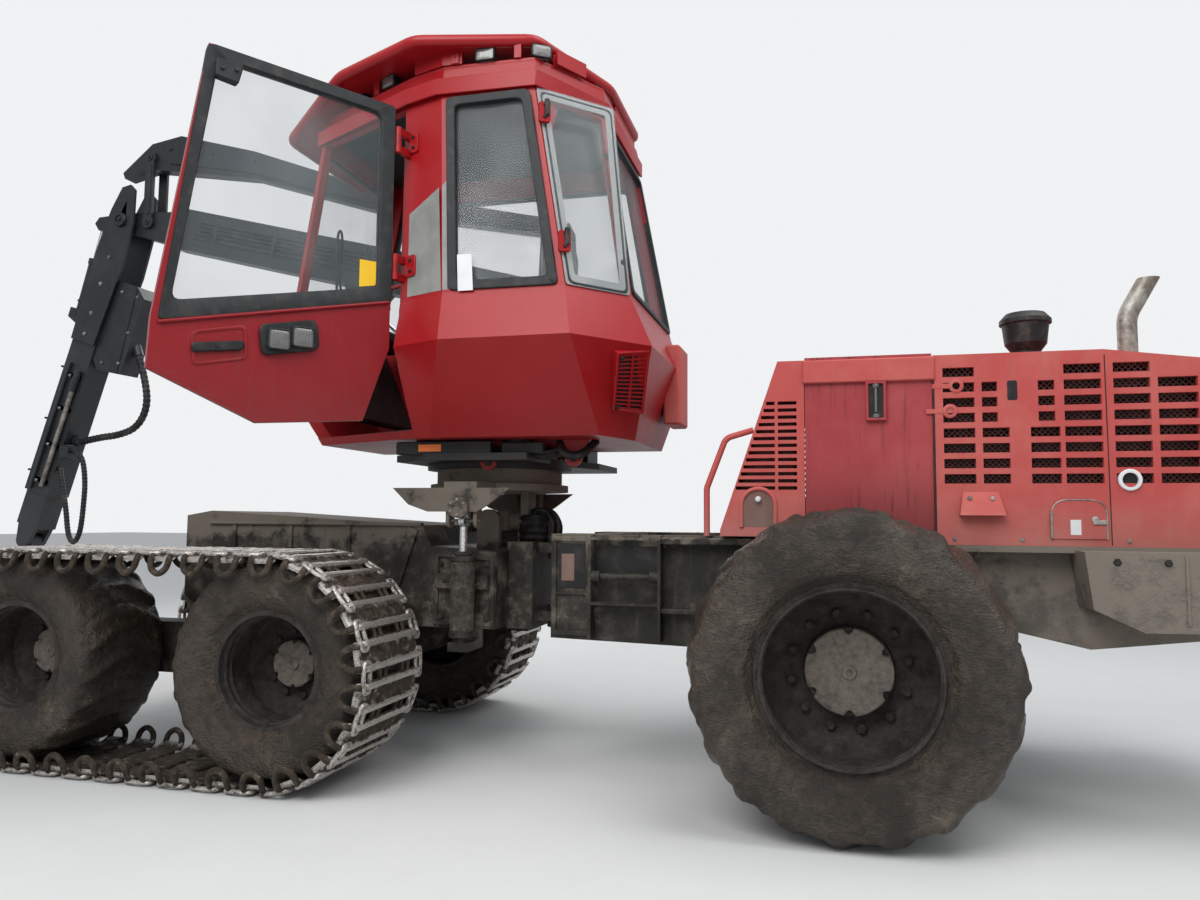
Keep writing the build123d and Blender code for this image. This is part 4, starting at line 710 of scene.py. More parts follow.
def tyre_surface(centre, middle, half, radius, bead_radius, rim_half, lugs, turns, across, seed, depth):
    """Grid of points of a muddy tyre: two superellipse arcs swept round the axle.

    Outside the widest radius the profile is |y/half|^4.5 + |(r-widest)/(radius-widest)|^4.5 = 1. Inside it the
    power is 2.2 and the arc stops at the rim. Lugs are slanted pulses round the tread; mud is smooth noise.
    """
    widest = bead_radius + 0.52 * (radius - bead_radius)
    share = (1 - (rim_half / half) ** 2.2) ** (1 / 2.2)
    inner = (widest - bead_radius) / share
    end = math.asin((rim_half / half) ** 1.1)
    swing = np.linspace(-(math.pi - end), math.pi - end, across)
    sine, cosine = np.sin(swing), np.cos(swing)
    power = np.where(cosine > 0, 2 / 4.5, 2 / 2.2)
    y = half * np.sign(sine) * np.abs(sine) ** power
    r = widest + np.where(cosine > 0, radius - widest, inner) * np.sign(cosine) * np.abs(cosine) ** power
    turn = all_round(turns)[:, None]
    y, r = np.broadcast_to(y, (turns, across)), np.broadcast_to(r, (turns, across))
    place = np.stack([r * np.sin(turn), y, r * np.cos(turn)], -1)
    tread = np.clip((r - (widest + 0.55 * (radius - widest))) / (0.35 * (radius - widest)), 0, 1)
    phase = turn / (2 * math.pi) * lugs + np.abs(y) / half * 0.9 + np.where(y > 0, 0.5, 0)
    pulse = np.clip(1.35 - 3.4 * np.abs(phase % 1 - 0.5) * 2 * 0.62, 0, 1) * np.clip((np.abs(y) - 0.01) / 0.03, 0, 1)
    fill = lumps(place, 0.16, seed) * 0.75 + lumps(place, 0.05, seed + 1) * 0.35
    upper = np.clip(place[..., 2] / radius, 0, 1)
    clods = np.clip(lumps(place, 0.075, seed + 2) - 0.6 + 0.35 * upper, 0, 1) * 2.2
    smear = lumps(place * (1, 1.6, 1), 0.045, seed + 3) * 0.5 + lumps(place, 0.018, seed + 4) * 0.35
    height = tread * (np.maximum(pulse * 1.25, fill) * depth * 1.3 + clods * depth * 0.9 - depth * 1.5)
    rings = np.exp(-((r - bead_radius - 0.03) / 0.009) ** 2) - np.exp(-((r - bead_radius - 0.055) / 0.012) ** 2) * 0.8
    rings = rings + np.exp(-((r - bead_radius - 0.10) / 0.008) ** 2) * 0.6
    height += (1 - tread) * (smear * depth * 0.42 + clods * depth * 0.35 - depth * 0.25) + rings * depth * 0.35
    edge = np.clip((np.abs(swing) - (math.pi - end - 0.16)) / 0.16, 0, 1)
    height *= 1 - edge * 0.9
    r = r + height
    return np.stack([centre[0] + r * np.sin(turn), middle + y, centre[1] + r * np.cos(turn)], -1)


class MeshOperator(bpy.types.Operator):
    """Shared base of the piece operators."""

    bl_options = {"REGISTER", "UNDO"}

    def execute(self, context):
        self.build(context.scene.harvester_sizes)
        return {"FINISHED"}


class TyrePieces(MeshOperator):
    """Rear and bogie tyres caked with mud."""

    bl_idname = "harvester.tyres"
    bl_label = "Muddy tyres"

    def build(self, sizes):
        low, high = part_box("rear_tyre_left")
        radius, half = (high.z - low.z) / 2, (high.y - low.y) / 2
        for number, (name, side) in enumerate(SIDES.items()):
            grid = tyre_surface((0, radius), side * (low.y + high.y) / 2, half, radius, 0.398, half - 0.07, 19, 420,
                84, 11 + number, sizes.mud_depth)
            tyre = Shape().add(grid, around=False, closed=True)
            tyre.piece(f"rear_tyre_mud_{name}", f"rear_wheel_{name}", "tyre_mud", 80, "tyre_rubber",
                replaces=[f"rear_tyre_{name}"])
        low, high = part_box("bogie_tyres")
        radius = (high.z - low.z) / 2
        wheels = itertools.product(SIDES.items(), (low.x + radius, high.x - radius))
        bogie = Shape()
        for number, ((name, side), x) in enumerate(wheels):
            grid = tyre_surface((x, low.z + radius), side * (high.y - half), half - 0.004, radius - 0.008, 0.294,
                half - 0.07, 21, 300, 60, 31 + number, sizes.mud_depth * 0.8)
            bogie.add(grid, around=False, closed=True)
        bogie.piece("bogie_tyres_mud", "front_chassis", "tyre_mud", 80, "tyre_rubber", replaces=["bogie_tyres"])


def loop_frames(distance, rear, front, middle, radius):
    """Places, forward directions and outward directions on the loop round both bogie wheels."""
    span, arc = front - rear, math.pi * radius
    run = np.asarray(distance, float) % (2 * (span + arc))
    legs = [run < span, run < span + arc, run < 2 * span + arc]
    turn = np.select(legs, [0 * run, (run - span) / radius, 0 * run + math.pi],
        math.pi + (run - 2 * span - arc) / radius)
    x = np.select(legs, [rear + run, 0 * run + front, front - (run - span - arc)], rear)
    zero = np.zeros_like(turn)
    out = np.stack([np.sin(turn), zero, np.cos(turn)], -1)
    ahead = np.stack([np.cos(turn), zero, -np.sin(turn)], -1)
    return np.stack([x, zero, zero + middle], -1) + radius * out, ahead, out


class TrackPieces(MeshOperator):
    """Band tracks: ribbed cross plates, side loops that hug the tyres, and chain links between the plates."""

    bl_idname = "harvester.tracks"
    bl_label = "Tracks"

    SHOES = 34
    RIB = 0.033
    # Half of a plate's section: (along, height)
    PLATE = [(0.076, 0.0), (0.083, 0.008), (0.079, 0.015), (0.070, 0.030), (0.062, RIB), (0.050, RIB),
        (0.040, 0.018), (0.014, 0.015)]

    def build(self, sizes):
        low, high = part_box("bogie_tyres")
        radius = (high.z - low.z) / 2
        self.loop = (low.x + radius, high.x - radius, low.z + radius, radius)
        pitch = 2 * (self.loop[1] - self.loop[0] + math.pi * radius) / self.SHOES
        for number, (name, side) in enumerate(SIDES.items()):
            shape = Shape()
            middle = side * (high.y - (high.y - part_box("rear_tyre_left")[0].y) / 2)
            whole, half = np.arange(self.SHOES) * pitch, (np.arange(self.SHOES) + 0.5) * pitch
            rings, wear = self.plate(number)
            self.carry(shape, rings, whole, middle, wear)
            for end in (-1, 1):
                self.carry(shape, self.side_loop(end), whole, middle, 0.28)
                self.carry(shape, self.link(end * 0.275), half, middle, 0.6)
                self.carry(shape, self.link(end * 0.12), half, middle, 0.0)
            shape.piece(f"track_detail_{name}", "front_chassis", "track_steel", 40,
                replaces=[f"track_{name}"], wear=True)

    def carry(self, shape, rings, distances, middle, wear):
        """Copies rings of (along, across, height) points to each distance along the loop."""
        place, ahead, out = [part[:, None, None] for part in loop_frames(distances, *self.loop)]
        rings = np.asarray(rings)[None]
        world = place + ahead * rings[..., :1] + out * rings[..., 2:]
        world[..., 1] += middle + rings[..., 1]
        shape.add(world, closed=False, wear=np.broadcast_to(wear, world.shape[:3]))

    def plate(self, seed):
        """A plate's rings across the tyre: its ends bend down and its ribs are a little worn and uneven."""
        right = np.array(self.PLATE)
        outline = np.concatenate([right, right[::-1] * (-1, 1)])
        across = np.concatenate([np.linspace(-0.312, -0.25, 5), np.linspace(-0.2, 0.2, 9),
            np.linspace(0.25, 0.312, 5)])
        bend = np.clip((np.abs(across) - 0.25) / 0.062, 0, 1) ** 2
        rings = np.zeros((len(across), len(outline), 3))
        rings[..., 0] = outline[:, 0] * (1 - 0.12 * bend[:, None])
        rings[..., 1] = across[:, None]
        rings[..., 2] = outline[:, 1] - bend[:, None] * 0.03
        rib = np.clip((outline[:, 1] - 0.016) / (self.RIB - 0.016), 0, 1)
        rings[..., 2] -= rib * lumps(rings, 0.05, 71 + seed) * 0.005
        return rings, rib * 0.85 + 0.3 + bend[:, None] * 0.3

    def side_loop(self, end):
        """A horseshoe of round bar from one edge of a plate down the tyre's sidewall and back."""
        path = smooth_path([(-0.05, 0.285, 0.012), (-0.055, 0.315, -0.012), (-0.044, 0.329, -0.065),
            (0.0, 0.332, -0.092), (0.044, 0.329, -0.065), (0.055, 0.315, -0.012), (0.05, 0.285, 0.012)], 5)
        return carried(path * (1, end, 1), circle(0.0165, 10), (0, 0.1, 1.0))

    def link(self, across):
        """A chain link: a flat loop of round bar that joins two plates."""
        turn = np.linspace(0, 2 * math.pi, 21)
        x = np.clip(0.075 * np.cos(turn) * 1.3, -0.062, 0.062) + 0.012 * np.cos(turn)
        path = np.stack([x, across + 0.03 * np.sin(turn), np.full_like(turn, 0.014)], -1)
        return carried(path, circle(0.0115, 8), (0, 0, 1))


class RimPieces(MeshOperator):
    """Wheel nuts, notched hub plates and mud inside the rims."""

    bl_idname = "harvester.rims"
    bl_label = "Hubs and wheel nuts"

    # How far the hub's face lies inside the rim's outer edge
    REAR_STEP, BOGIE_STEP = 0.21, 0.262

    def build(self, sizes):
        wheels = []
        for name, side in SIDES.items():
            low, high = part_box(f"rear_rim_{name}")
            face = (high.y if side > 0 else low.y) - side * self.REAR_STEP
            wheels.append((f"rear_{name}", f"rear_wheel_{name}", side,
                [((low.x + high.x) / 2, (low.z + high.z) / 2)], face, 0.195, 0.262, 12, 0.395))
        low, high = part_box("bogie_rims")
        radius = (high.z - low.z) / 2
        places = [(low.x + radius, low.z + radius), (high.x - radius, low.z + radius)]
        for name, side in SIDES.items():
            wheels.append((f"bogie_{name}", "front_chassis", side, places, side * (high.y - self.BOGIE_STEP),
                0.125, 0.172, 10, 0.29))
        for label, body, side, places, face, hub, ring, count, barrel in wheels:
            plates, nuts, soil = shapes(3)
            for x, z in places:
                self.hub_plate(plates, (x, face, z), side, hub)
                turn = all_round(count) + 0.2
                spots = np.stack([x + ring * np.sin(turn), np.full(count, face - side * 0.05),
                    z + ring * np.cos(turn)], -1)
                bolts(nuts, spots, (0, side, 0), 0.021, 0.03)
                for inset, width in ((0.205, 0.012), (0.165, 0.008)):
                    lathe(soil, (x, face + side * inset, z), (0, side, 0),
                        [(0, barrel - 0.016), (width, barrel - 0.024), (width * 2, barrel - 0.016),
                        (width * 2, barrel - 0.008), (0, barrel - 0.008)], 72, closed=True)
            plates.piece(f"hub_plate_{label}", body, "hub_mud", 40, "rim_steel")
            nuts.piece(f"wheel_nuts_{label}", body, "rim_mud", 30, "rim_steel")
            soil.piece(f"rim_steps_{label}", body, "rim_mud", 50, "rim_steel")

    def hub_plate(self, shape, centre, side, radius):
        """A disc with six notches: its edge radius dips where the cosine of six turns is high."""
        turn = all_round(96)
        notch = np.clip((np.cos(6 * turn) - 0.82) / 0.14, 0, 1)
        edge = radius * (1 - 0.14 * notch)
        rings = []
        for depth, share in ((-0.01, 1.0), (0.014, 1.0), (0.02, 0.97), (0.021, 0.6), (0.017, 0.45), (0.017, 0.1)):
            r = edge * share if share > 0.9 else np.full_like(turn, radius * share)
            ring = np.stack([centre[0] + r * np.sin(turn), np.full_like(turn, centre[1] + side * depth),
                centre[2] + r * np.cos(turn)], -1)
            ring[:, 1] += side * (lumps(ring, 0.04, 91) - 0.5) * 0.006 * (share < 0.98)
            rings.append(ring)
        shape.add(rings)
        lathe(shape, (centre[0], centre[1] + side * 0.017, centre[2]), (0, side, 0), [(0, 0.034), (0.01, 0.03),
            (0.01, 0.014), (0.003, 0.012)], 28)


# Cab corners at the belt and the header, clockwise from the rear right, as in the CAD model
CAB_BELT, CAB_HEADER = 2.57, 3.70
CAB_BELT_CORNERS = np.array([(1.09, -0.45), (1.09, 0.735), (1.36, 1.05), (2.03, 1.06), (2.31, 0.935),
    (3.33, 0.474), (3.33, -0.45)])
CAB_HEADER_CORNERS = np.array([(1.31, -0.45), (1.31, 0.47), (1.58, 0.93), (2.11, 0.95), (2.33, 0.88),
    (3.12, 0.51), (3.12, -0.45)])
# Cab sides by index: 0 rear, 1 rear left, 2 left, 3 pillar, 4 door, 5 front, 6 right


def on_cab(side, share, height):
    """A point on one side of the cab's window band, by its share of the side's width and its height."""
    rise = (height - CAB_BELT) / (CAB_HEADER - CAB_BELT)
    corners = CAB_BELT_CORNERS + (CAB_HEADER_CORNERS - CAB_BELT_CORNERS) * rise
    start, end = corners[side], corners[(side + 1) % len(corners)]
    return (*(start + (end - start) * share), height)


def cab_patch(side, share0, share1, low, high):
    """Four corners on a side of the cab, anticlockwise as seen from outside."""
    return [on_cab(side, share, height) for share, height in rect(share1, share0, low, high)]


class CabPieces(MeshOperator):
    """Window rubbers, roof roll, lamps, vent, hinges, marks and lining of the cab."""

    bl_idname = "harvester.cab"
    bl_label = "Cab details"

    BODY = "upper_structure"
    # Work lamps: (X, Y, direction in degrees)
    LAMPS = [(1.870, 0.895, 90), (1.575, 0.855, 122), (2.520, 0.745, 65), (2.790, 0.560, 40), (2.810, 0.220, 0),
        (2.810, -0.260, 0), (1.410, 0.330, 165)]
    # Upright strips under the guard: both ends of each
    STRIPS = [((1.34, -0.44), (1.34, 0.1)), ((1.385, 0.604), (1.495, 0.796)), ((1.665, 0.915), (1.705, 0.917)),
        ((2.005, 0.925), (2.12, 0.93)), ((2.12, 0.93), (2.315, 0.872)), ((3.08, 0.44), (3.08, -0.44))]
    # Rubbers: (side, share from, share to, low, high, width)
    RUBBERS = [(2, 0.05, 0.95, 2.578, 3.682, 0.05), (0, 0.03, 0.97, 2.6, 3.66, 0.03), (5, 0.035, 0.965, 2.592, 3.672,
        0.03), (6, 0.04, 0.96, 2.62, 3.63, 0.035), (1, 0.045, 0.955, 2.583, 3.68, 0.014)]

    def build(self, sizes):
        rubber = Shape()
        for side, share0, share1, low, high, width in self.RUBBERS:
            trim(rubber, cab_patch(side, share0, share1, low, high), width, -0.022, 0.013, 0.035)
        rubber.piece("window_rubbers", self.BODY, "seal_rubber", slot="black_plastic")
        pane, edge = shapes(2)
        trim(edge, cab_patch(1, 0.02, 0.985, 2.578, 3.695), 0.06, 0.003, 0.007, 0.02, 0.001)
        panel(pane, cab_patch(1, 0.015, 0.99, 2.575, 3.698), 0.007, 0.012, 0.02)
        edge.piece("pane_edge", self.BODY, "pane_edge", slot="cab_glass")
        pane.piece("rear_left_pane", self.BODY, "cab_glass")
        self.roof()
        self.lamps()
        self.hardware()
        self.vent()
        self.marks()
        self.lining()

    def roof(self):
        """Roof plate, guard panels with a sloping front, their rolled edge, brackets and the header's lip."""
        guard, visor = 3.984, 3.804
        shell = Shape()
        plate = [(1.325, -0.45), (3.095, -0.45), (3.095, 0.497), (2.33, 0.855), (2.11, 0.92),
            (1.592, 0.90), (1.325, 0.458)]
        slab(shell, LEVEL, plate, 3.8601, 3.884, 0.004)
        top = [(1.345, -0.47), (2.85, -0.47), (2.85, 0.77), (2.24, 1.03), (1.6, 0.88), (1.345, 0.235)]
        slab(shell, LEVEL, top, guard - 0.03, guard + 0.03, 0.004)
        panel(shell, [(2.85, -0.47, guard), (3.4, -0.47, visor), (3.4, 0.42, visor), (2.85, 0.77, guard)], -0.03,
            0.03)
        for (x0, y0), (x1, y1) in self.STRIPS:
            inward = unit((y1 - y0, x0 - x1, 0)) * 0.02
            high = guard - 0.02 - max(0.0, (x0 + x1) / 2 - 2.85) / 0.55 * 0.18
            foot, end = vec(x0, y0, 3.882), vec(x1, y1, 3.882)
            rise = vec(0, 0, high - 3.882)
            shell.add([[foot, end, end + inward, foot + inward], [foot + rise, end + rise, end + rise + inward,
                foot + rise + inward]])
        shell.piece("roof_shell", self.BODY, "cab_red", 30, bevel=0.003, replaces=["cab_roof"])
        line = [(x, y, guard) for x, y in (top[0], *top[:1:-1])]
        line = [*line, (3.4, 0.42, visor), (3.4, -0.47, visor), (2.85, -0.47, guard)]
        roll = along_path(Shape(), rounded(line, 0.05, 4), circle(0.034, 14), (0, 0, 1), closed=True)
        roll.piece("roof_roll", self.BODY, "cab_red", 60)
        lip = Shape()
        edge = [(1.30, -0.45), (1.30, 0.462), (1.572, 0.943), (2.135, 0.966), (2.345, 0.898),
            (3.135, 0.518), (3.135, -0.45)]
        path = [(x, y, 3.742) for x, y in edge]
        section = [(-0.012, -0.045), (0.003, -0.045), (0.008, -0.036), (0.008, 0.04), (-0.012, 0.046)]
        along_path(lip, path, section, (0, 0, 1))
        lip.piece("header_lip", self.BODY, "cab_red", 30, bevel=0.003)
        brackets = Shape()
        for x, y, direction in ((2.02, 0.93, 90), (1.49, 0.74, 122), (2.62, 0.72, 65)):
            turn = math.radians(direction)
            out, along = vec(math.cos(turn), math.sin(turn), 0), vec(-math.sin(turn), math.cos(turn), 0)
            foot = vec(x, y, 3.884)
            end, rise = foot - along * 0.05, vec(0, 0, 0.07)
            panel(brackets, [foot, end, end + rise, foot + rise], -0.004, 0.004)
            bolts(brackets, [foot - along * 0.025 + vec(0, 0, 0.04) + out * 0.004], out, 0.008, 0.006)
        brackets.piece("roof_brackets", self.BODY, "cab_red")

    def lamps(self):
        """Square work lamps: a black ribbed housing, a bezel, and a lens over a bowl."""
        housing, glass = shapes(2)
        for x, y, direction in self.LAMPS:
            work_lamp(housing, glass, (x, y, 3.919), math.radians(direction), 0.056, 0.035, 0.037)
        housing.piece("lamp_housings", self.BODY, "black_plastic")
        glass.piece("lamp_lenses", self.BODY, "lamp_lens", slot="cab_glass")

    def hardware(self):
        """Window hinges, pane bolts, door hinge leaves and the lug plates under the floor."""
        red, black = shapes(2)
        for height in (2.75, 3.48):
            foot = vec(*on_cab(1, 1.0, height))
            out = unit((-0.5, 0.86, 0.12))
            along = unit(np.cross((0, 0, 1), out))
            panel(red, [foot + along * a + vec(0, 0, b) for a, b in rect(-0.012, 0.05, 0, 0.11)], 0.006, 0.03, 0.01)
            pin = foot + along * 0.03 + out * 0.03
            rod(black, pin + vec(0, 0, 0.03), pin + vec(0, 0, 0.12), 0.014, 14, 0.003)
            bolts(black, [foot + along * 0.02 + out * 0.03 + vec(0, 0, h) for h in (0.025, 0.09)], out, 0.009, 0.01)
        corner = vec(*on_cab(1, 0, 3))
        out = unit(np.cross(vec(*on_cab(1, 1, 3)) - corner, vec(*on_cab(1, 0, 3.4)) - corner))
        out = -out if out[1] < 0 else out
        for height in (2.76, 2.98, 3.2, 3.42):
            lathe(black, vec(*on_cab(1, 0.085, height)) + out * 0.01, out, [(0, 0.016), (0.006, 0.018),
                (0.012, 0.016), (0.014, 0.008)], 16)
        for z in (2.72, 3.43):
            panel(red, cab_patch(3, 0.7, 0.98, z - 0.02, z + 0.1), 0.0, 0.012, 0.02)
            bolts(black, [np.add(on_cab(3, 0.83, h), (0.006, 0.011, 0)) for h in (z + 0.01, z + 0.07)],
                (0.4, 0.9, 0.1), 0.009, 0.008)
        for x, y, drop in ((1.99, 0.47, 0.12), (1.476, 0.47, 0.1)):
            turn = np.linspace(0, math.pi, 13)
            arc = [(x + 0.05 * math.cos(a), y, 1.84 - drop - 0.05 * math.sin(a)) for a in turn]
            panel(red, [(x + 0.09, y, 1.84), (x - 0.09, y, 1.84), *arc[::-1]], -0.012, 0.012)
            bolts(black, [(x, y + 0.012, 1.84 - drop)], (0, 1, 0), 0.02, 0.012)
        red.piece("cab_brackets", self.BODY, "cab_red", 30)
        black.piece("cab_bolts", self.BODY, "black_plastic", 30)

    def vent(self):
        """The rear left vent: a framed plate with two columns of horizontal bars over a dark sheet that paints the
        shade of the recess behind them.
        """
        corners = [(1.2035, 0.68, 1.9725), (1.0815, 0.4575, 1.9795), (0.9945, 0.6915, 2.293), (1.1265, 0.8895, 2.251)]
        red, dark, black = shapes(3)
        trim(red, corners, 0.018, -0.05, 0.008, 0.01)
        # Painted shade: a near-black sheet behind the bars
        panel(dark, outline_3d(corners, 0.01), -0.012, -0.006)
        plane, outline = sheet_place(corners)
        rows = 15
        for row in range(1, rows):
            share = row / rows
            left = outline[0] + (outline[3] - outline[0]) * share
            right = outline[1] + (outline[2] - outline[1]) * share
            slab(red, plane, [left + (0.01, -0.0045), right + (-0.01, -0.0045), right + (-0.01, 0.0045),
                left + (0.01, 0.0045)], -0.008, 0.003, 0.0015)
        middle = (outline[0] + outline[1]) / 2, (outline[2] + outline[3]) / 2
        slab(red, plane, [middle[0] - (0.008, 0), middle[0] + (0.008, 0), middle[1] + (0.008, 0),
            middle[1] - (0.008, 0)], -0.008, 0.004, 0.0015)
        for share in (0.08, 0.92):
            spot = outline[0] + (outline[3] - outline[0]) * share + (0.03, 0)
            lathe(black, plane.at(spot[0], spot[1], 0.006), plane.out, [(0, 0.012), (0.012, 0.011), (0.014, 0.006)],
                14)
        red.piece("vent_bars", self.BODY, "cab_red", 30)
        dark.piece("vent_painted_shade", self.BODY, "painted_shade_and_black", slot="black_plastic")
        black.piece("vent_latches", self.BODY, "black_plastic")

    def marks(self):
        """Bare faded sheets on the pillar, a paper on the side window and a box behind the cab."""
        grey, white, red = shapes(3)
        panel(grey, [on_cab(3, 0.93, 2.59), on_cab(3, 0.03, 2.585), on_cab(3, 0.03, 3.16), on_cab(3, 0.93, 3.06)],
            0.0005, 0.0016, edge=0.0004)
        panel(grey, [on_cab(2, 0.998, 2.585), on_cab(2, 0.955, 2.585), on_cab(2, 0.955, 3.2),
            on_cab(2, 0.998, 3.17)], 0.0005, 0.0016, edge=0.0004)
        panel(white, cab_patch(2, 0.735, 0.86, 2.57, 2.77), 0.0135, 0.0145, edge=0.0003)
        block(red, (0.955, -0.32, 1.97), (1.06, -0.02, 2.46), 0.012, 0.02)
        grey.piece("pillar_sheets", self.BODY, "grey_label", slot="cab_red")
        white.piece("window_paper", self.BODY, "white_label", slot="cab_red")
        red.piece("rear_box", self.BODY, "hood_red", slot="cab_red")

    def lining(self):
        """Roof lining, console, screen, floor mat, levers and a thin rail, all seen through the glass."""
        dark, black, red = shapes(3)
        roof = outline_inset(CAB_HEADER_CORNERS, 0.07)
        slab(dark, LEVEL, roof, 3.745, 3.79, 0.01)
        floor = outline_inset([(1.2, -0.4), (1.2, 0.4), (1.4, 0.78), (2.3, 0.74), (3.08, 0.34), (3.08, -0.4)], 0.03)
        slab(dark, LEVEL, floor, 1.885, 1.9, 0.004)
        panel(dark, [(2.9, 0.42, 2.0), (2.9, -0.4, 2.0), (3.14, -0.4, 2.55), (3.14, 0.42, 2.55)],
            -0.05, 0.0, 0.03, 0.015)
        block(black, (2.82, -0.30, 2.52), (3.1, 0.2, 2.6), 0.02, 0.04)
        panel(black, [(2.86, 0.32, 2.75), (2.86, 0.06, 2.75), (2.9, 0.06, 2.95), (2.9, 0.32, 2.95)],
            -0.03, 0.0, 0.015)
        rod(black, (2.93, 0.19, 2.6), (2.9, 0.19, 2.8), 0.014)
        for y in (0.62, -0.02):
            block(dark, (1.95, y - 0.06, 2.44), (2.42, y + 0.06, 2.53), 0.02, 0.05)
            rod(dark, (2.05, y, 2.2), (2.08, y, 2.46), 0.03)
            lathe(black, (2.36, y, 2.53), (0.1, 0, 1), [(0, 0.03), (0.03, 0.016), (0.1, 0.018), (0.14, 0.026),
                (0.17, 0.02), (0.18, 0.008)], 16)
        rod(red, (2.34, 0.80, 2.71), (3.12, 0.42, 2.71), 0.012, edge=0.002)
        for y in (0.3, -0.05):
            hose(black, [(3.05, y, 2.62), (3.08, y + 0.03, 2.9), (3.03, y + 0.1, 3.15), (3.0, y + 0.2, 3.1),
                (2.98, y + 0.22, 2.62)], 0.008)
        dark.piece("cab_lining", self.BODY, "painted_shade_and_black", slot="black_plastic")
        black.piece("cab_controls", self.BODY, "black_plastic")
        red.piece("cab_rail", self.BODY, "cab_red")


# The open door's own plane: across from the hinge, up, and depth into the cab's side
DOOR_HINGE = vec(2.345, 0.985, 0)
DOOR_TURN = math.radians(52)
DOOR = Plane(DOOR_HINGE, (math.cos(DOOR_TURN), math.sin(DOOR_TURN), 0), (0, 0, 1))


class DoorPieces(MeshOperator):
    """The cab door's black frame, handle, lamps, latch box and bare warning patch."""

    bl_idname = "harvester.door"
    bl_label = "Door details"

    BODY = "cab_door"
    # Places on the door as (across, height)
    FRAME_OUTER = [(0.021, 2.555), (1.163, 2.292), (0.993, 3.683), (0.021, 3.643)]
    FRAME_INNER = [(0.098, 2.622), (1.108, 2.396), (0.940, 3.617), (0.098, 3.582)]
    RECESS = [(0.752, 2.158), (1.004, 2.098), (1.017, 2.263), (0.767, 2.324)]
    LAMP_PLATE = [(0.406, 2.242), (0.692, 2.180), (0.711, 2.332), (0.424, 2.398)]
    LATCH_BOX = [(0.858, 3.495), (0.964, 3.507), (0.962, 3.598), (0.832, 3.608)]
    PATCH = [(0.104, 2.632), (0.196, 2.612), (0.196, 2.76), (0.104, 2.762)]

    def build(self, sizes):
        black, red, glass, amber, dark = shapes(5)
        outer, inner = rounded(self.FRAME_OUTER, 0.03), rounded(self.FRAME_INNER, 0.05)
        # Section of the frame round the plate's edge: (share from outer to inner, depth)
        section = [(0, 0.0), (0.04, -0.006), (0.9, -0.007), (1.0, 0.0), (1.0, 0.038), (0.9, 0.0395),
            (0.04, 0.0395), (0, 0.038)]
        framed(black, DOOR, outer, inner, section)
        slab(black, DOOR, rounded(self.LAMP_PLATE, 0.04), -0.022, 0.002, 0.006)
        self.ring(red, self.RECESS, 0.014, -0.006, 0.001)
        grip = outline_inset([(0.775, 2.195), (1.015, 2.158), (1.015, 2.208), (0.775, 2.247)], 0.002)
        slab(black, DOOR, rounded(grip, 0.02), -0.02, 0.002, 0.006)
        lathe(dark, DOOR.at(0.90, 2.203, -0.02), -DOOR.out, [(0, 0.011), (0.003, 0.01), (0.004, 0.004)], 18)
        square = rounded(rect(-1, 1, -1, 1), 0.3, 4) * (0.052, 0.048)
        for spot in ((0.614, 2.268), (0.496, 2.293)):
            for shape, levels in ((black, [(-0.02, 1.12), (-0.04, 1.1), (-0.042, 1.0), (-0.03, 0.96)]),
                    (glass, [(-0.028, 0.98), (-0.036, 0.96), (-0.04, 0.7), (-0.041, 0.1)])):
                shape.add([DOOR.ring(spot + square * share, depth) for depth, share in levels])
        slab(black, DOOR, rounded(self.LATCH_BOX, 0.012), -0.05, 0.0, 0.006)
        bolts(black, [DOOR.at(x, z, -0.05) for x, z in ((0.87, 3.56), (0.935, 3.55))], -DOOR.out, 0.01, 0.008)
        slab(amber, DOOR, self.PATCH, 0.0115, 0.0125, 0.0003)
        rod(red, DOOR.at(0.035, 2.548, -0.006), DOOR.at(1.160, 2.285, -0.006), 0.009, 12, 0.003)
        black.piece("door_frame", self.BODY, "seal_rubber", 40, "black_plastic")
        red.piece("door_bead", self.BODY, "door_red_painted_shade", slot="cab_red")
        glass.piece("door_lamps", self.BODY, "lamp_lens", slot="cab_glass")
        amber.piece("door_patch", self.BODY, "yellow_label", slot="cab_red")
        dark.piece("door_recess", self.BODY, "painted_shade_and_black", slot="black_plastic")

    def ring(self, shape, outline, width, low, high):
        """A raised rim round an outline, with a rounded top."""
        outer, inner = rounded(outline, 0.03), rounded(outline_inset(outline, width), 0.022)
        framed(shape, DOOR, outer, inner, [(0, high), (0, low + 0.002), (0.3, low), (1, low + 0.002), (1, high)])


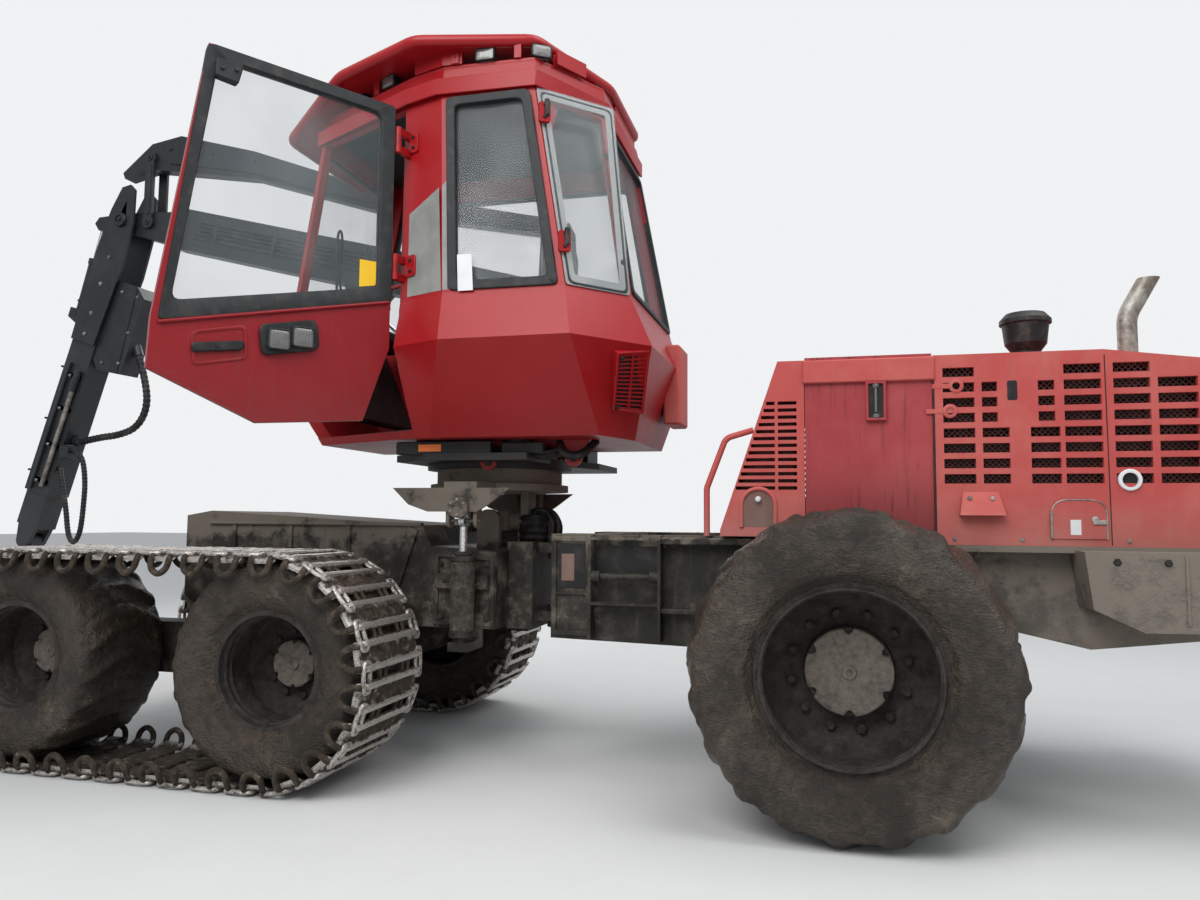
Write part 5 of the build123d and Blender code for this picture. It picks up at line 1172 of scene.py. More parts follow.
class HoodPieces(MeshOperator):
    """Expanded metal, latches, flap, gauge, lid, cover, seams and recess of the engine end."""

    bl_idname = "harvester.hood"
    bl_label = "Hood details"

    BODY = "rear_chassis"

    def build(self, sizes):
        for name, side in SIDES.items():
            self.face = side_plane(side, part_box("hood")[1].y)
            self.side, self.suffix = side, name
            self.mesh()
            self.fittings()
            self.tank()
            self.cowl()
        self.flap()

    def at(self, x, z, depth=0.0):
        """The point of the side panel at X and Z, a depth out of it."""
        return self.face.at(-self.side * np.asarray(x, float), z, depth)

    def plate(self, shape, corners, low, high, radius=0.0, edge=0.002):
        """A plate over (X, Z) corners on the side panel."""
        return slab(shape, self.face, [(-self.side * x, z) for x, z in corners], low, high, edge, radius)

    def mesh(self):
        """Zigzag strands behind the slots, and dark cooler faces further in."""
        wire, dark = shapes(2)
        x0, x1 = sorted((self.side * 0.45, self.side * 1.57))
        lattice(wire, self.face, x0, x1, 1.57, 2.15, 0.026, -0.036)
        self.plate(dark, [(-0.45, 1.5), (-1.55, 1.5), (-1.55, 2.1), (-0.45, 2.14)], -0.14, -0.125)
        for x in (-0.62, -0.86, -1.18, -1.38):
            rod(dark, self.at(x, 1.5, -0.11), self.at(x, 2.1, -0.11), 0.022, 12)
        for z in (1.65, 1.83, 1.99):
            rod(dark, self.at(-0.47, z, -0.1), self.at(-1.5, z, -0.1), 0.014, 12)
        wire.piece(f"hood_mesh_{self.suffix}", self.BODY, "wire_mesh", 60, "hood_red")
        dark.piece(f"cooler_dark_{self.suffix}", self.BODY, "painted_shade_and_black", slot="black_plastic")

    def fittings(self):
        """Eyelets, slot, pipe end, deflector cover, seam and rows of bolts on the side panel; the slot and the pipe's
        bore are painted shade.
        """
        red, dark, white, steel = shapes(4)
        out = self.face.out
        for x, z in ((-0.522, 2.051), (-0.492, 1.929)):
            lathe(red, self.at(x, z), out, [(-0.02, 0.034), (0.003, 0.034), (0.005, 0.03), (0.005, 0.018),
                (-0.02, 0.018)], 28, closed=True)
            self.plate(red, rect(x + 0.11, x + 0.02, z - 0.012, z + 0.012), -0.012, 0.002)
        # Painted shade: a thin dark patch for a slot in the panel
        self.plate(dark, rect(-0.75, -0.795, 1.975, 2.07), 0.0, 0.0012, 0.012, 0.0005)
        lathe(white, self.at(-1.261, 1.592), out, [(-0.02, 0.05), (0.008, 0.05), (0.011, 0.046), (0.011, 0.034),
            (-0.02, 0.033)], 40, closed=True)
        # Painted shade: a dark disc in the pipe end's bore
        lathe(dark, self.at(-1.261, 1.592, -0.01), out, [(0, 0.034), (0.004, 0.034), (0.004, 0.002)], 30)
        # The deflector stands out at its lower edge: (X, Z, depth)
        top, foot = [(-0.545, 1.537), (-0.70, 1.537)], [(-0.525, 1.425), (-0.722, 1.425)]
        rings = []
        for shift in (0.0, -0.006):
            rings.append([self.at(*top[0], 0.004 + shift), self.at(*foot[0], 0.06 + shift),
                self.at(*foot[1], 0.06 + shift), self.at(*top[1], 0.004 + shift)])
        red.add(rings)
        for (xt, zt), (xf, zf) in zip(top, foot):
            red.add([[self.at(xt, zt, 0.0), self.at(xf, zf, 0.0), self.at(xf, zf, 0.06)],
                [self.at(xt + 0.004, zt, 0.0), self.at(xf + 0.004, zf, 0.0), self.at(xf + 0.004, zf, 0.06)]])
        bolts(steel, [self.at(x, 1.505, 0.022) for x in (-0.57, -0.67)], out, 0.009, 0.007)
        self.plate(dark, [(-1.176, 1.29), (-1.181, 1.29), (-1.175, 2.18), (-1.170, 2.18)], 0.0, 0.0008, edge=0.0003)
        self.plate(dark, rect(-0.415, -0.423, 1.29, 2.19), 0.0, 0.0008, edge=0.0003)
        bolts(steel, [self.at(x, 1.31, 0.0) for x in (-0.5, -0.8, -1.25, -1.6, -1.95)], out, 0.008, 0.006)
        red.piece(f"hood_fittings_{self.suffix}", self.BODY, "hood_red", 30)
        dark.piece(f"hood_seams_and_shade_{self.suffix}", self.BODY, "painted_shade_and_black", slot="black_plastic")
        white.piece(f"pipe_end_{self.suffix}", self.BODY, "white_label", slot="hood_red")
        steel.piece(f"hood_bolts_{self.suffix}", self.BODY, "bare_steel", 30, "hood_red")

    def tank(self):
        """The tank's overhanging lid and its framed level gauge."""
        lid, dark, lens_shape, red = shapes(4)
        self.plate(lid, rect(0.205, -0.425, 2.083, 2.2), -0.02, 0.014, 0.01, 0.006)
        self.plate(dark, rect(-0.105, -0.193, 1.892, 2.083), -0.012, 0.0, 0.006)
        corners = [self.at(x, z, -0.01) for x, z in rect(-0.1, -0.198, 1.888, 2.086)]
        if self.side < 0:
            corners = [corners[1], corners[0], corners[3], corners[2]]
        trim(red, corners, 0.014, 0.0, 0.024, 0.006)
        rod(lens_shape, self.at(-0.149, 1.93, 0.006), self.at(-0.149, 2.05, 0.006), 0.007, 16, 0.002)
        bolts(lens_shape, [self.at(-0.149, z, 0.0) for z in (1.912, 2.066)], self.face.out, 0.012, 0.014)
        lid.piece(f"tank_lid_{self.suffix}", self.BODY, "hood_red", 30)
        dark.piece(f"gauge_dark_{self.suffix}", self.BODY, "painted_shade_and_black", slot="black_plastic")
        lens_shape.piece(f"gauge_tube_{self.suffix}", self.BODY, "lamp_lens", slot="tank_red")
        red.piece(f"gauge_frame_{self.suffix}", self.BODY, "tank_red", 30)

    def cowl(self):
        """An arched recess with a plug at the cowl's side: a flat dark fill inside the arch and a dark sheet behind
        it are painted shade.
        """
        red, white, dark = shapes(3)
        face = side_plane(self.side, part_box("front_cowl")[1].y)
        turn = np.linspace(0, math.pi, 15)
        middle, foot, radius = 0.43, 1.36, 0.085
        arch = [(middle + radius * math.cos(a), 1.47 + radius * math.sin(a)) for a in turn]
        arch = np.array([(middle + radius, foot), *arch, (middle - radius, foot)])
        path = [face.at(-self.side * x, z, 0.002) for x, z in arch]
        along_path(red, path, circle(0.011, 10), face.out)
        place = face.at(-self.side * middle, 1.50)
        lathe(white, place, face.out, [(0, 0.016), (0.012, 0.016), (0.02, 0.012), (0.03, 0.012), (0.032, 0.004)], 20)
        corners = np.array([(-self.side * x, z) for x, z in arch])
        # Painted shade: a flat dark fill inside the arch, and a dark sheet behind it
        slab(dark, face, corners, 0.0, 0.001, 0.0004)
        slab(dark, side_plane(self.side, 0.6), [(-self.side * x, z) for x, z in ((0.25, 1.5), (0.55, 1.5),
            (0.36, 2.1), (0.25, 2.1))], 0, 0.01)
        red.piece(f"cowl_arch_{self.suffix}", self.BODY, "hood_red", 50)
        white.piece(f"cowl_plug_{self.suffix}", self.BODY, "white_label", slot="hood_red")
        dark.piece(f"cowl_painted_shade_{self.suffix}", self.BODY, "red_painted_shade_and_dirt", slot="hood_red")

    def flap(self):
        """The filler flap: a plate with a round top, its hinge rod, a latch and two bare plates."""
        low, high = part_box("filler_flap")
        face = Plane((0, low.y, 0), (-1, 0, 0), (0, 0, 1))
        red, steel, white = shapes(3)
        x0, x1, z0, z1 = -high.x + 0.006, -low.x, low.z + 0.002, high.z
        outline = [(x0, z0), (x1, z0), *rounded([(x1, z0), (x1, z1), (x0, z1), (x0, z0)], 0.075, 8)[8:24]]
        slab(red, face, outline, 0.0, 0.0055, 0.002)
        rod(steel, (high.x - 0.006, low.y + 0.006, z0), (high.x - 0.006, low.y + 0.006, z1 - 0.06), 0.0064, 12, 0.002)
        lathe(steel, (low.x + 0.05, low.y + 0.0055, z0 + 0.09), (0, 1, 0), [(0, 0.017), (0.004, 0.016),
            (0.006, 0.012)], 18)
        block(steel, (low.x + 0.004, low.y + 0.004, z0 + 0.068), (low.x + 0.06, low.y + 0.012, z0 + 0.088), 0.002)
        slab(white, face, rect(x0 + 0.08, x0 + 0.125, z0 + 0.02, z0 + 0.09), 0.0055, 0.0062, 0.0002)
        line = [face.at(x, z, 0.0055) for x, z in outline[1:]] + [face.at(x0, z0, 0.0055)]
        along_path(steel, line, circle(0.0035, 8), face.out)
        red.piece("filler_flap_plate", "filler_flap", "hood_red", 40, replaces=["filler_flap"])
        steel.piece("filler_flap_fittings", "filler_flap", "bare_steel", 30, "hood_red")
        white.piece("filler_flap_card", "filler_flap", "white_label", slot="hood_red")


class FramePieces(MeshOperator):
    """Framed recess, step knobs and seams on the rear frame, gussets and bolts on the front one; the recess and the
    step openings hold dark sheets of painted shade.
    """

    bl_idname = "harvester.frames"
    bl_label = "Frame details"

    # Half widths of the rear and the front frame, and the place of a levelling barrel from the middle plane
    REAR_FACE, FRONT_FACE = 0.6, 0.43
    BARREL_X, BARREL_Y = 2.1, 0.56

    def build(self, sizes):
        for name, side in SIDES.items():
            dirt, dark, red, steel = shapes(4)
            self.side = side
            recess = rect(1.555, 1.335, 0.765, 1.3)
            trim(dirt, self.corners(recess, self.REAR_FACE), 0.028, -0.004, 0.013, 0.004)
            # Painted shade: a dark sheet inside the framed recess
            panel(dark, self.corners(rect(1.515, 1.362, 1.02, 1.262), self.REAR_FACE), 0.0, 0.005, 0.004)
            # A dirty red label, in the darker red that also paints the cowl's shade
            panel(red, self.corners(rect(1.5, 1.428, 1.06, 1.205), self.REAR_FACE), 0.005, 0.0062, 0.003, 0.0004)
            rod(dirt, (1.55, side * 0.606, 0.99), (1.34, side * 0.606, 0.99), 0.007, 12, 0.002)
            for x in (0.972, 1.293):
                lathe(dirt, (x, side * 0.66, 1.09), (1, 0, 0), [(-0.03, 0.02), (-0.026, 0.03), (0.026, 0.03),
                    (0.03, 0.02)], 20)
            # Painted shade: a dark sheet in the step openings between the knobs
            panel(dark, self.corners(rect(1.305, 0.965, 1.09, 1.25), self.REAR_FACE), 0.0, 0.004)
            # A ledge and a step below it, rows of bolts, and two upright seams
            block(dirt, (0.46, side * 0.6, 1.262), (0.94, side * 0.672, 1.3), 0.006)
            block(dirt, (0.52, side * 0.6, 0.902), (0.94, side * 0.665, 0.93), 0.006)
            bolts(steel, [(x, side * 0.672, 1.281) for x in (0.55, 0.7, 0.85)], (0, side, 0), 0.011, 0.008)
            bolts(steel, [(x, side * 0.88, 1.22) for x in (-1.15, -1.35, -2.05)], (0, side, 0), 0.013, 0.01)
            for x in (-1.42, -1.5):
                block(dirt, (x - 0.006, side * 0.878, 0.95), (x + 0.006, side * 0.886, 1.255), 0.002)
            dirt.piece(f"frame_ribs_{name}", "rear_chassis", "frame_dirt", 30, "frame_paint")
            dark.piece(f"frame_painted_shade_{name}", "rear_chassis", "painted_shade_and_black", slot="frame_paint")
            red.piece(f"frame_plate_{name}", "rear_chassis", "red_painted_shade_and_dirt", slot="frame_paint")
            steel.piece(f"frame_bolts_{name}", "rear_chassis", "rim_mud", 30, "frame_paint")
            self.front(name, side)

    def corners(self, points, y):
        """Corners on a side face, anticlockwise as seen from outside."""
        placed = [(x, self.side * y, z) for x, z in points]
        return placed if self.side > 0 else [placed[1], placed[0], placed[3], placed[2]]

    def front(self, name, side):
        """Side plate with a slotted ledge, a slanting gusset, cylinder collars and the pivot's caps; the ledge's
        slots are thin dark strips of painted shade.
        """
        dirt, dark, steel = shapes(3)
        y = self.FRONT_FACE
        trim(dirt, self.corners([(2.335, 0.775), (1.955, 0.775), (1.955, 1.175), (2.335, 1.2)], y), 0.03,
            -0.003, 0.016, 0.004)
        block(dirt, (1.985, side * y, 0.985), (2.31, side * (y + 0.045), 1.07), 0.006)
        # Painted shade: thin dark strips for the ledge's slots
        for x in (2.05, 2.22):
            block(dark, (x, side * (y + 0.0445), 1.02), (x + 0.045, side * (y + 0.0465), 1.036), 0.001)
        panel(dirt, self.corners([(2.75, 0.8), (2.62, 0.8), (2.44, 1.32), (2.5, 1.34)], y), 0.0, 0.022)
        for x in (2.9, 3.3, 3.7):
            panel(dirt, self.corners(rect(x + 0.012, x - 0.012, 0.8, 1.34), y), 0, 0.015)
        block(dirt, (2.42, side * (y - 0.02), 1.345), (3.88, side * (y + 0.02), 1.365), 0.004)
        bolts(steel, [(x, side * (y + 0.015), z) for x in (2.0, 2.29) for z in (0.82, 1.13)],
            (0, side, 0), 0.014, 0.011)
        barrel = (self.BARREL_X, side * self.BARREL_Y)
        for z0, z1, radius in ((1.15, 1.182, 0.074), (0.725, 0.76, 0.073), (1.182, 1.2, 0.05)):
            lathe(dirt, (*barrel, z0), (0, 0, 1), [(0, radius - 0.004), (0.004, radius), (z1 - z0 - 0.004, radius),
                (z1 - z0, radius - 0.004), (z1 - z0, 0.023), (0, 0.023)], 32, closed=True)
        lathe(dark, (*barrel, 1.2), (0, 0, 1), [(0, 0.034), (0.006, 0.032), (0.006, 0.0235), (0, 0.0235)], 24,
            closed=True)
        sleeve = lathe(Shape(), (*barrel, 0.76), (0, 0, 1), [(0, 0.064), (0.004, 0.068), (0.386, 0.068),
            (0.39, 0.064), (0.39, 0.0505), (0, 0.0505)], 48, closed=True)
        sleeve.piece(f"tilt_sleeve_{name}", "front_chassis", "barrel_mud", 40, "frame_paint")
        dirt.piece(f"front_ribs_{name}", "front_chassis", "frame_dirt", 30, "frame_paint")
        dark.piece(f"front_slot_shade_{name}", "front_chassis", "painted_shade_and_black", slot="frame_paint")
        steel.piece(f"front_bolts_{name}", "front_chassis", "rim_mud", 30, "frame_paint")


class SwingPieces(MeshOperator):
    """Rim beams, bolts, hoses, marker and slew drive between the cab and the levelling platform."""

    bl_idname = "harvester.swing"
    bl_label = "Slewing gear"

    # X of the slewing axis and of the levelling pins, and the pins' height
    TURN_X, PIN_Z = 2.1, 1.455

    def build(self, sizes):
        dirt, rubber_shape, amber, steel, dark = shapes(5)
        turn = all_round(40)
        bolts(steel, [(self.TURN_X + 0.42 * math.cos(a), 0.42 * math.sin(a), 1.75) for a in turn],
            (0, 0, 1), 0.011, 0.012)
        block(dirt, (1.92, 0.585, 1.755), (2.5, 0.625, 1.83), 0.006)
        block(dirt, (1.62, 0.56, 1.76), (1.86, 0.6, 1.82), 0.006)
        block(amber, (2.22, 0.625, 1.772), (2.36, 0.6265, 1.812), 0.0005)
        for x, y in ((2.36, 0.2), (1.86, 0.36)):
            lathe(dark, (x, y, 1.76), (0, 0, 1), [(0, 0.075), (0.05, 0.075), (0.055, 0.06), (0.078, 0.06)], 28)
        for number, (y, drop) in enumerate(((0.53, 0.03), (0.49, 0.045), (0.45, 0.02), (0.40, 0.05), (0.36, 0.035))):
            hose(rubber_shape, [(1.5, y - 0.1, 1.83), (1.62, y, 1.80 - drop), (1.85, y, 1.815 - drop),
                (2.05, y - 0.02, 1.80), (2.3, y - 0.06, 1.825 - drop / 2), (2.5, y - 0.16, 1.835)],
                0.013 + 0.002 * (number % 3))
        hose(rubber_shape, [(1.36, 0.42, 1.835), (1.4, 0.5, 1.77), (1.46, 0.53, 1.745), (1.53, 0.52, 1.77),
            (1.56, 0.46, 1.83)], 0.024)
        dirt.piece("swing_beams", "upper_structure", "slew_black", 30, "frame_paint")
        rubber_shape.piece("swing_hoses", "upper_structure", "hose_rubber")
        amber.piece("swing_marker", "upper_structure", "amber", slot="frame_paint")
        steel.piece("slew_bolts", "upper_structure", "bare_steel", 30, "frame_paint")
        dark.piece("swing_drives", "upper_structure", "engine_iron", slot="frame_paint")
        self.platform()

    def platform(self):
        """Bracket plates with round bosses over the levelling cylinders, and a rubber boot on the front frame."""
        dirt, steel, boot = shapes(3)
        for side in SIDES.values():
            y = 0.621 * side
            face = [(2.52, y, 1.565), (1.80, y, 1.565), (1.93, y, 1.47), (2.0, y, 1.43),
                (2.30, y, 1.43), (2.42, y, 1.47)]
            face = face if side > 0 else face[1::-1] + face[:1:-1]
            panel(dirt, face, 0.0, 0.018)
            lathe(dirt, (self.TURN_X, y, self.PIN_Z), (0, side, 0), [(0.016, 0.062), (0.034, 0.06), (0.038, 0.05),
                (0.038, 0.03), (0.03, 0.025)], 32)
            spots = [(self.TURN_X + 0.044 * math.sin(a), y + side * 0.038, self.PIN_Z + 0.044 * math.cos(a))
                for a in all_round(6)]
            bolts(steel, spots, (0, side, 0), 0.007, 0.007)
        rib = [(step * 0.02, 0.095 + 0.012 * (step % 2)) for step in range(9)]
        lathe(boot, (1.86, 0.0, 1.256), (0, 0, 1), [*rib, (0.165, 0.07), (0.15, 0.065)], 36)
        for angle in (0.4, 1.6, 2.7, 4.0, 5.2):
            x, y = 1.86 + 0.03 * math.cos(angle), 0.03 * math.sin(angle)
            hose(boot, [(x, y, 1.4), (x - 0.01, y, 1.44), (x - 0.05, y * 1.3, 1.452), (x - 0.1, y * 1.6, 1.42),
                (x - 0.13, y * 2, 1.35), (x - 0.12, y * 2.4, 1.256)], 0.012)
        dirt.piece("platform_brackets", "tilt_platform", "frame_dirt", 30, "frame_paint")
        steel.piece("platform_bolts", "tilt_platform", "bare_steel", 30, "frame_paint")
        boot.piece("hose_boot", "front_chassis", "hose_rubber", 40)


# The crane's plane, with lengths in metres
CRANE_Y = -0.75
KNEE, BOOM_FOOT, BOOM_TIP = (5.690, 3.812), (1.980, 2.940), (5.473, 3.795)
OUTER_TURN = math.radians(-71.7)
BOOM_TURN = math.atan2(BOOM_TIP[1] - BOOM_FOOT[1], BOOM_TIP[0] - BOOM_FOOT[0])


def on_line(origin, turn, distance, offset, y=0.0):
    """A point by its distance along a line in the crane's plane, its offset to the left and its Y."""
    return vec(origin[0] + distance * math.cos(turn) - offset * math.sin(turn), CRANE_Y + y,
        origin[1] + distance * math.sin(turn) + offset * math.cos(turn))


def on_outer(distance, offset, y=0.0):
    """A point by its distance along the outer boom from the knee."""
    return on_line(KNEE, OUTER_TURN, distance, offset, y)


def on_boom(distance, offset, y=0.0):
    """A point by its distance along the main boom from its foot."""
    return on_line(BOOM_FOOT, BOOM_TURN, distance, offset, y)


def face_of(boom, corners, y):
    """Points on a boom's side from (distance, offset) corners."""
    return [boom(distance, offset, y) for distance, offset in corners]


def beside(x, z, y):
    """A point at X and Z, its Y off the crane's plane."""
    return vec(x, CRANE_Y + y, z)


class HoseCords(MeshOperator):
    """The wrapped hose loop between its two glands, and a hose that hangs below it."""

    bl_idname = "harvester.hose_cords"
    bl_label = "Free hoses"

    LOOP = [(5.5678, -0.75, 2.7004), (5.487, -0.75, 2.480), (5.462, -0.75, 2.270), (5.556, -0.75, 2.108),
        (5.740, -0.75, 2.050), (5.930, -0.75, 2.036), (6.1329, -0.75, 1.9952)]
    HANGING = [[(6.155, -0.665, 1.93), (6.0, -0.645, 1.93), (5.93, -0.64, 1.70), (5.94, -0.64, 1.42),
        (5.96, -0.64, 1.24), (6.02, -0.64, 1.16), (6.085, -0.645, 1.24), (6.12, -0.65, 1.46), (6.222, -0.672, 1.78)]]

    def build(self, sizes):
        self.cord("crane_hose_loop", self.LOOP, 0.026, ["crane_hoses"])
        for number, route in enumerate(self.HANGING):
            self.cord(f"hanging_hose_{number}", route, 0.019, [])

    def cord(self, name, route, radius, replaces):
        """A tube along a NURBS line, with flat wraps round it: bands that rise from both edges to a level middle."""
        line = self.line(route)
        length = float(np.linalg.norm(np.diff(line, axis=0), axis=1).sum())
        rings = carried(line, circle(radius, 20), (0, 1, 0))
        tube = Shape().add(rings).piece(name, "outer_boom", "hose_wrap", 60, "hose_rubber", replaces=replaces)
        wraps = Shape()
        spacing, width = radius * 1.5, radius * 1.15
        steps = np.concatenate([[0], np.cumsum(np.linalg.norm(np.diff(line, axis=0), axis=1))])
        for start in np.arange(spacing * 0.4, length - width, spacing):
            along = np.linspace(start, start + width, 6)
            spots = np.stack([np.interp(along, steps, line[:, axis]) for axis in range(3)], -1)
            lift = np.array([0.0, 0.7, 1.0, 1.0, 0.7, 0.0]) * radius * 0.13 - 0.0004
            outer = carried(spots, circle(1.0, 20), (0, 1, 0)) - spots[:, None]
            wraps.add(spots[:, None] + outer * (radius + lift)[:, None, None])
        wrap = wraps.piece(f"{name}_wraps", "outer_boom", "hose_rubber", 50)

    def line(self, route):
        """Points read from a NURBS spline that the route controls."""
        curve = bpy.data.curves.new("route", "CURVE")
        curve.dimensions = "3D"
        spline = curve.splines.new("NURBS")
        spline.points.add(len(route) - 1)
        for point, place in zip(spline.points, route):
            point.co = (*place, 1)
        spline.order_u = 3
        spline.use_endpoint_u = True
        spline.resolution_u = 12
        holder = bpy.data.objects.new("route", curve)
        mesh = bpy.data.meshes.new_from_object(holder)
        points = np.array([tuple(vertex.co) for vertex in mesh.vertices])
        bpy.data.objects.remove(holder)
        bpy.data.meshes.remove(mesh)
        return points


class CranePieces(MeshOperator):
    """Pin caps, hoses, pipes, clamps, wear plates and bolts of the crane."""

    bl_idname = "harvester.crane"
    bl_label = "Crane details"

    def build(self, sizes):
        self.radius = sizes.hose_radius
        self.outer()
        self.main()
        self.links()
        self.cylinders()
        self.pillar()

    def cap(self, shape, place, side, radius, depth=0.02):
        """A turned pin head with a groove and a bolt in its middle."""
        lathe(shape, place, (0, side, 0), [(0, radius), (depth * 0.7, radius), (depth, radius * 0.9),
            (depth, radius * 0.55), (depth * 0.7, radius * 0.5), (depth * 0.7, radius * 0.3)], 32)
        bolts(shape, [place + vec(0, side * depth * 0.7, 0)], (0, side, 0), radius * 0.28, 0.012)

    def outer(self):
        """Keeper plates at the knee, edge strips, hose guard folds, the long pipe with clamps, and hoses."""
        black, steel, rubber_shape = shapes(3)
        for side in (-1, 1):
            face = side * 0.1305
            self.cap(black, on_outer(0, 0, face), side, 0.058, 0.03)
            turn = np.linspace(-0.9, math.pi + 0.9, 18)
            drop = [(-0.07 * math.sin(a), 0.07 * math.cos(a)) for a in turn]
            plate = face_of(on_outer, [*drop, (-0.17, 0.008), (-0.17, -0.008)], face)
            panel(black, plate[::side], 0.0, 0.01)
            for n0, n1 in ((0.085, 0.05), (-0.095, -0.06)):
                strip = [(0.35, n0 - 0.012), (1.02, n1 - 0.012), (1.02, n1 + 0.012), (0.35, n0 + 0.012)]
                strip = face_of(on_outer, strip, face)
                panel(black, strip[::side], 0.0, 0.008)
            bolts(steel, [on_outer(s, 0.0, face) for s in (0.32, 0.55, 0.8, 0.98)], (0, side, 0), 0.013, 0.011)
            spots = [(0.56, -0.36), (0.86, -0.38), (1.12, -0.38), (0.56, -0.2), (1.16, -0.22)]
            bolts(steel, face_of(on_outer, spots, side * 0.096), (0, side, 0), 0.011, 0.01)
            fold = [(0.5, -0.335), (1.205, -0.395), (1.205, -0.375), (0.5, -0.315)]
            fold = face_of(on_outer, fold, side * 0.0955)
            panel(black, fold[::-side], 0.0, 0.006)
        for shape, end, radius in ((steel, 2.28, 0.019), (black, 1.46, 0.027)):
            rod(shape, on_outer(1.28, -0.06, 0.132), on_outer(end, -0.06, 0.132), radius, 18, 0.004)
        rod(black, on_outer(1.24, 0.05, 0.128), on_outer(2.33, 0.05, 0.128), 0.014, 14, 0.003)
        for distance in (1.34, 1.62, 1.93, 2.24):
            clamp = rect(distance - 0.022, distance + 0.022, -0.095, 0.075)
            panel(black, face_of(on_outer, clamp, 0.11), 0.0, 0.04, edge=0.004)
            bolts(steel, [on_outer(distance, -0.01, 0.15)], (0, 1, 0), 0.01, 0.01)
        for n, y in ((0.135, -0.06), (0.138, -0.02), (0.136, 0.02), (0.14, 0.06)):
            points = [on_outer(1.10, n - 0.02, y), on_outer(1.2, n + 0.006, y), on_outer(1.6, n + 0.008, y * 1.1),
                on_outer(2.0, n + 0.006, y), on_outer(2.3, n, y * 0.9)]
            hose(rubber_shape, points, self.radius)
        for distance in (1.3, 1.75, 2.2):
            rod(black, on_outer(distance, 0.162, -0.09), on_outer(distance, 0.162, 0.09), 0.009, 10)
        lathe(black, on_outer(1.864, -0.13, 0.0), unit(on_outer(0, -1) - on_outer(0, 0)), [(0, 0.05), (0.02, 0.05),
            (0.024, 0.042), (0.06, 0.04), (0.064, 0.034)], 28)
        block(black, (6.10, -0.72, 1.86), (6.19, -0.62, 1.97), 0.008)
        black.piece("outer_boom_fittings", "outer_boom", "crane_black", 30)
        steel.piece("outer_boom_pipe", "outer_boom", "bare_steel", 30, "crane_black")
        rubber_shape.piece("outer_boom_hoses", "outer_boom", "hose_rubber")

    def main(self):
        """Strapped hoses and pipes beside the main boom, its doubler plates and pin heads."""
        black, rubber_shape, steel = shapes(3)
        for side in (-1, 1):
            self.cap(black, beside(*KNEE, side * 0.135), side, 0.03, 0.012)
            face = side * 0.085
            for s0, s1, n0, n1 in ((0.45, 1.2, -0.11, 0.09), (2.75, 3.2, -0.12, 0.12)):
                plate = face_of(on_boom, [(s0, n0), (s1, n0), (s1 - 0.1, n1), (s0 + 0.05, n1)], face)
                panel(black, plate[::-side], 0.0, 0.007, 0.03)
        for number, offset in enumerate((0.015, 0.045, 0.075)):
            hose(rubber_shape, [on_boom(0.55 + number * 0.04, offset, 0.1), on_boom(1.3, offset + 0.004, 0.101),
                on_boom(2.2, offset - 0.004, 0.101), on_boom(3.05, offset, 0.1)], self.radius)
        for distance in (0.75, 1.25, 1.8, 2.35, 2.9):
            strap = Plane(on_boom(distance, 0.0, 0.113), on_boom(0, 0) - on_boom(1, 0), on_boom(0, 1) - on_boom(0, 0))
            slab(black, strap, rounded(rect(-0.016, 0.016, -0.078, 0.096), 0.008), -0.004, 0.003, 0.001)
        for offset in (-0.06, -0.02):
            rod(steel, on_boom(0.6, offset, 0.095), on_boom(3.1, offset, 0.095), 0.011, 12, 0.002)
        black.piece("main_boom_fittings", "main_boom", "crane_black", 30)
        rubber_shape.piece("main_boom_hoses", "main_boom", "hose_rubber")
        steel.piece("main_boom_pipes", "main_boom", "crane_black", 40)

    def links(self):
        """Pin heads and plates on the knee's links, and ribs and bolts on the upper link."""
        black, upper = shapes(2)
        for x, z in (BOOM_TIP, (BOOM_TIP[0], BOOM_TIP[1] + 0.54)):
            for side in (-1, 1):
                self.cap(black, beside(x, z, side * 0.09), side, 0.026, 0.008)
        for side in (-1, 1):
            rim = [beside(x, z, side * 0.09) for x, z in rect(BOOM_TIP[0] - 0.018, BOOM_TIP[0] + 0.018,
                BOOM_TIP[1] + 0.06, BOOM_TIP[1] + 0.48)]
            panel(black, rim[::-side], 0.0, 0.006, 0.015)
            path = [beside(x, z, side * 0.062) for x, z in ((3.3, 3.75), (4.0, 3.95), (4.5, 4.12), (5.3, 4.28))]
            along_path(upper, smooth_path(path, 6), rect(-0.004, 0.004, -0.008, 0.008), (0, 1, 0))
        bolts(upper, [beside(x, z, 0.06) for x, z in ((5.3, 4.4), (4.9, 4.32), (4.5, 4.22), (3.4, 3.79),
            (2.2, 3.51))], (0, 1, 0), 0.014, 0.01)
        black.piece("knee_link_caps", "knee_link", "crane_black", 30)
        upper.piece("upper_link_ribs", "upper_link", "crane_black", 40)

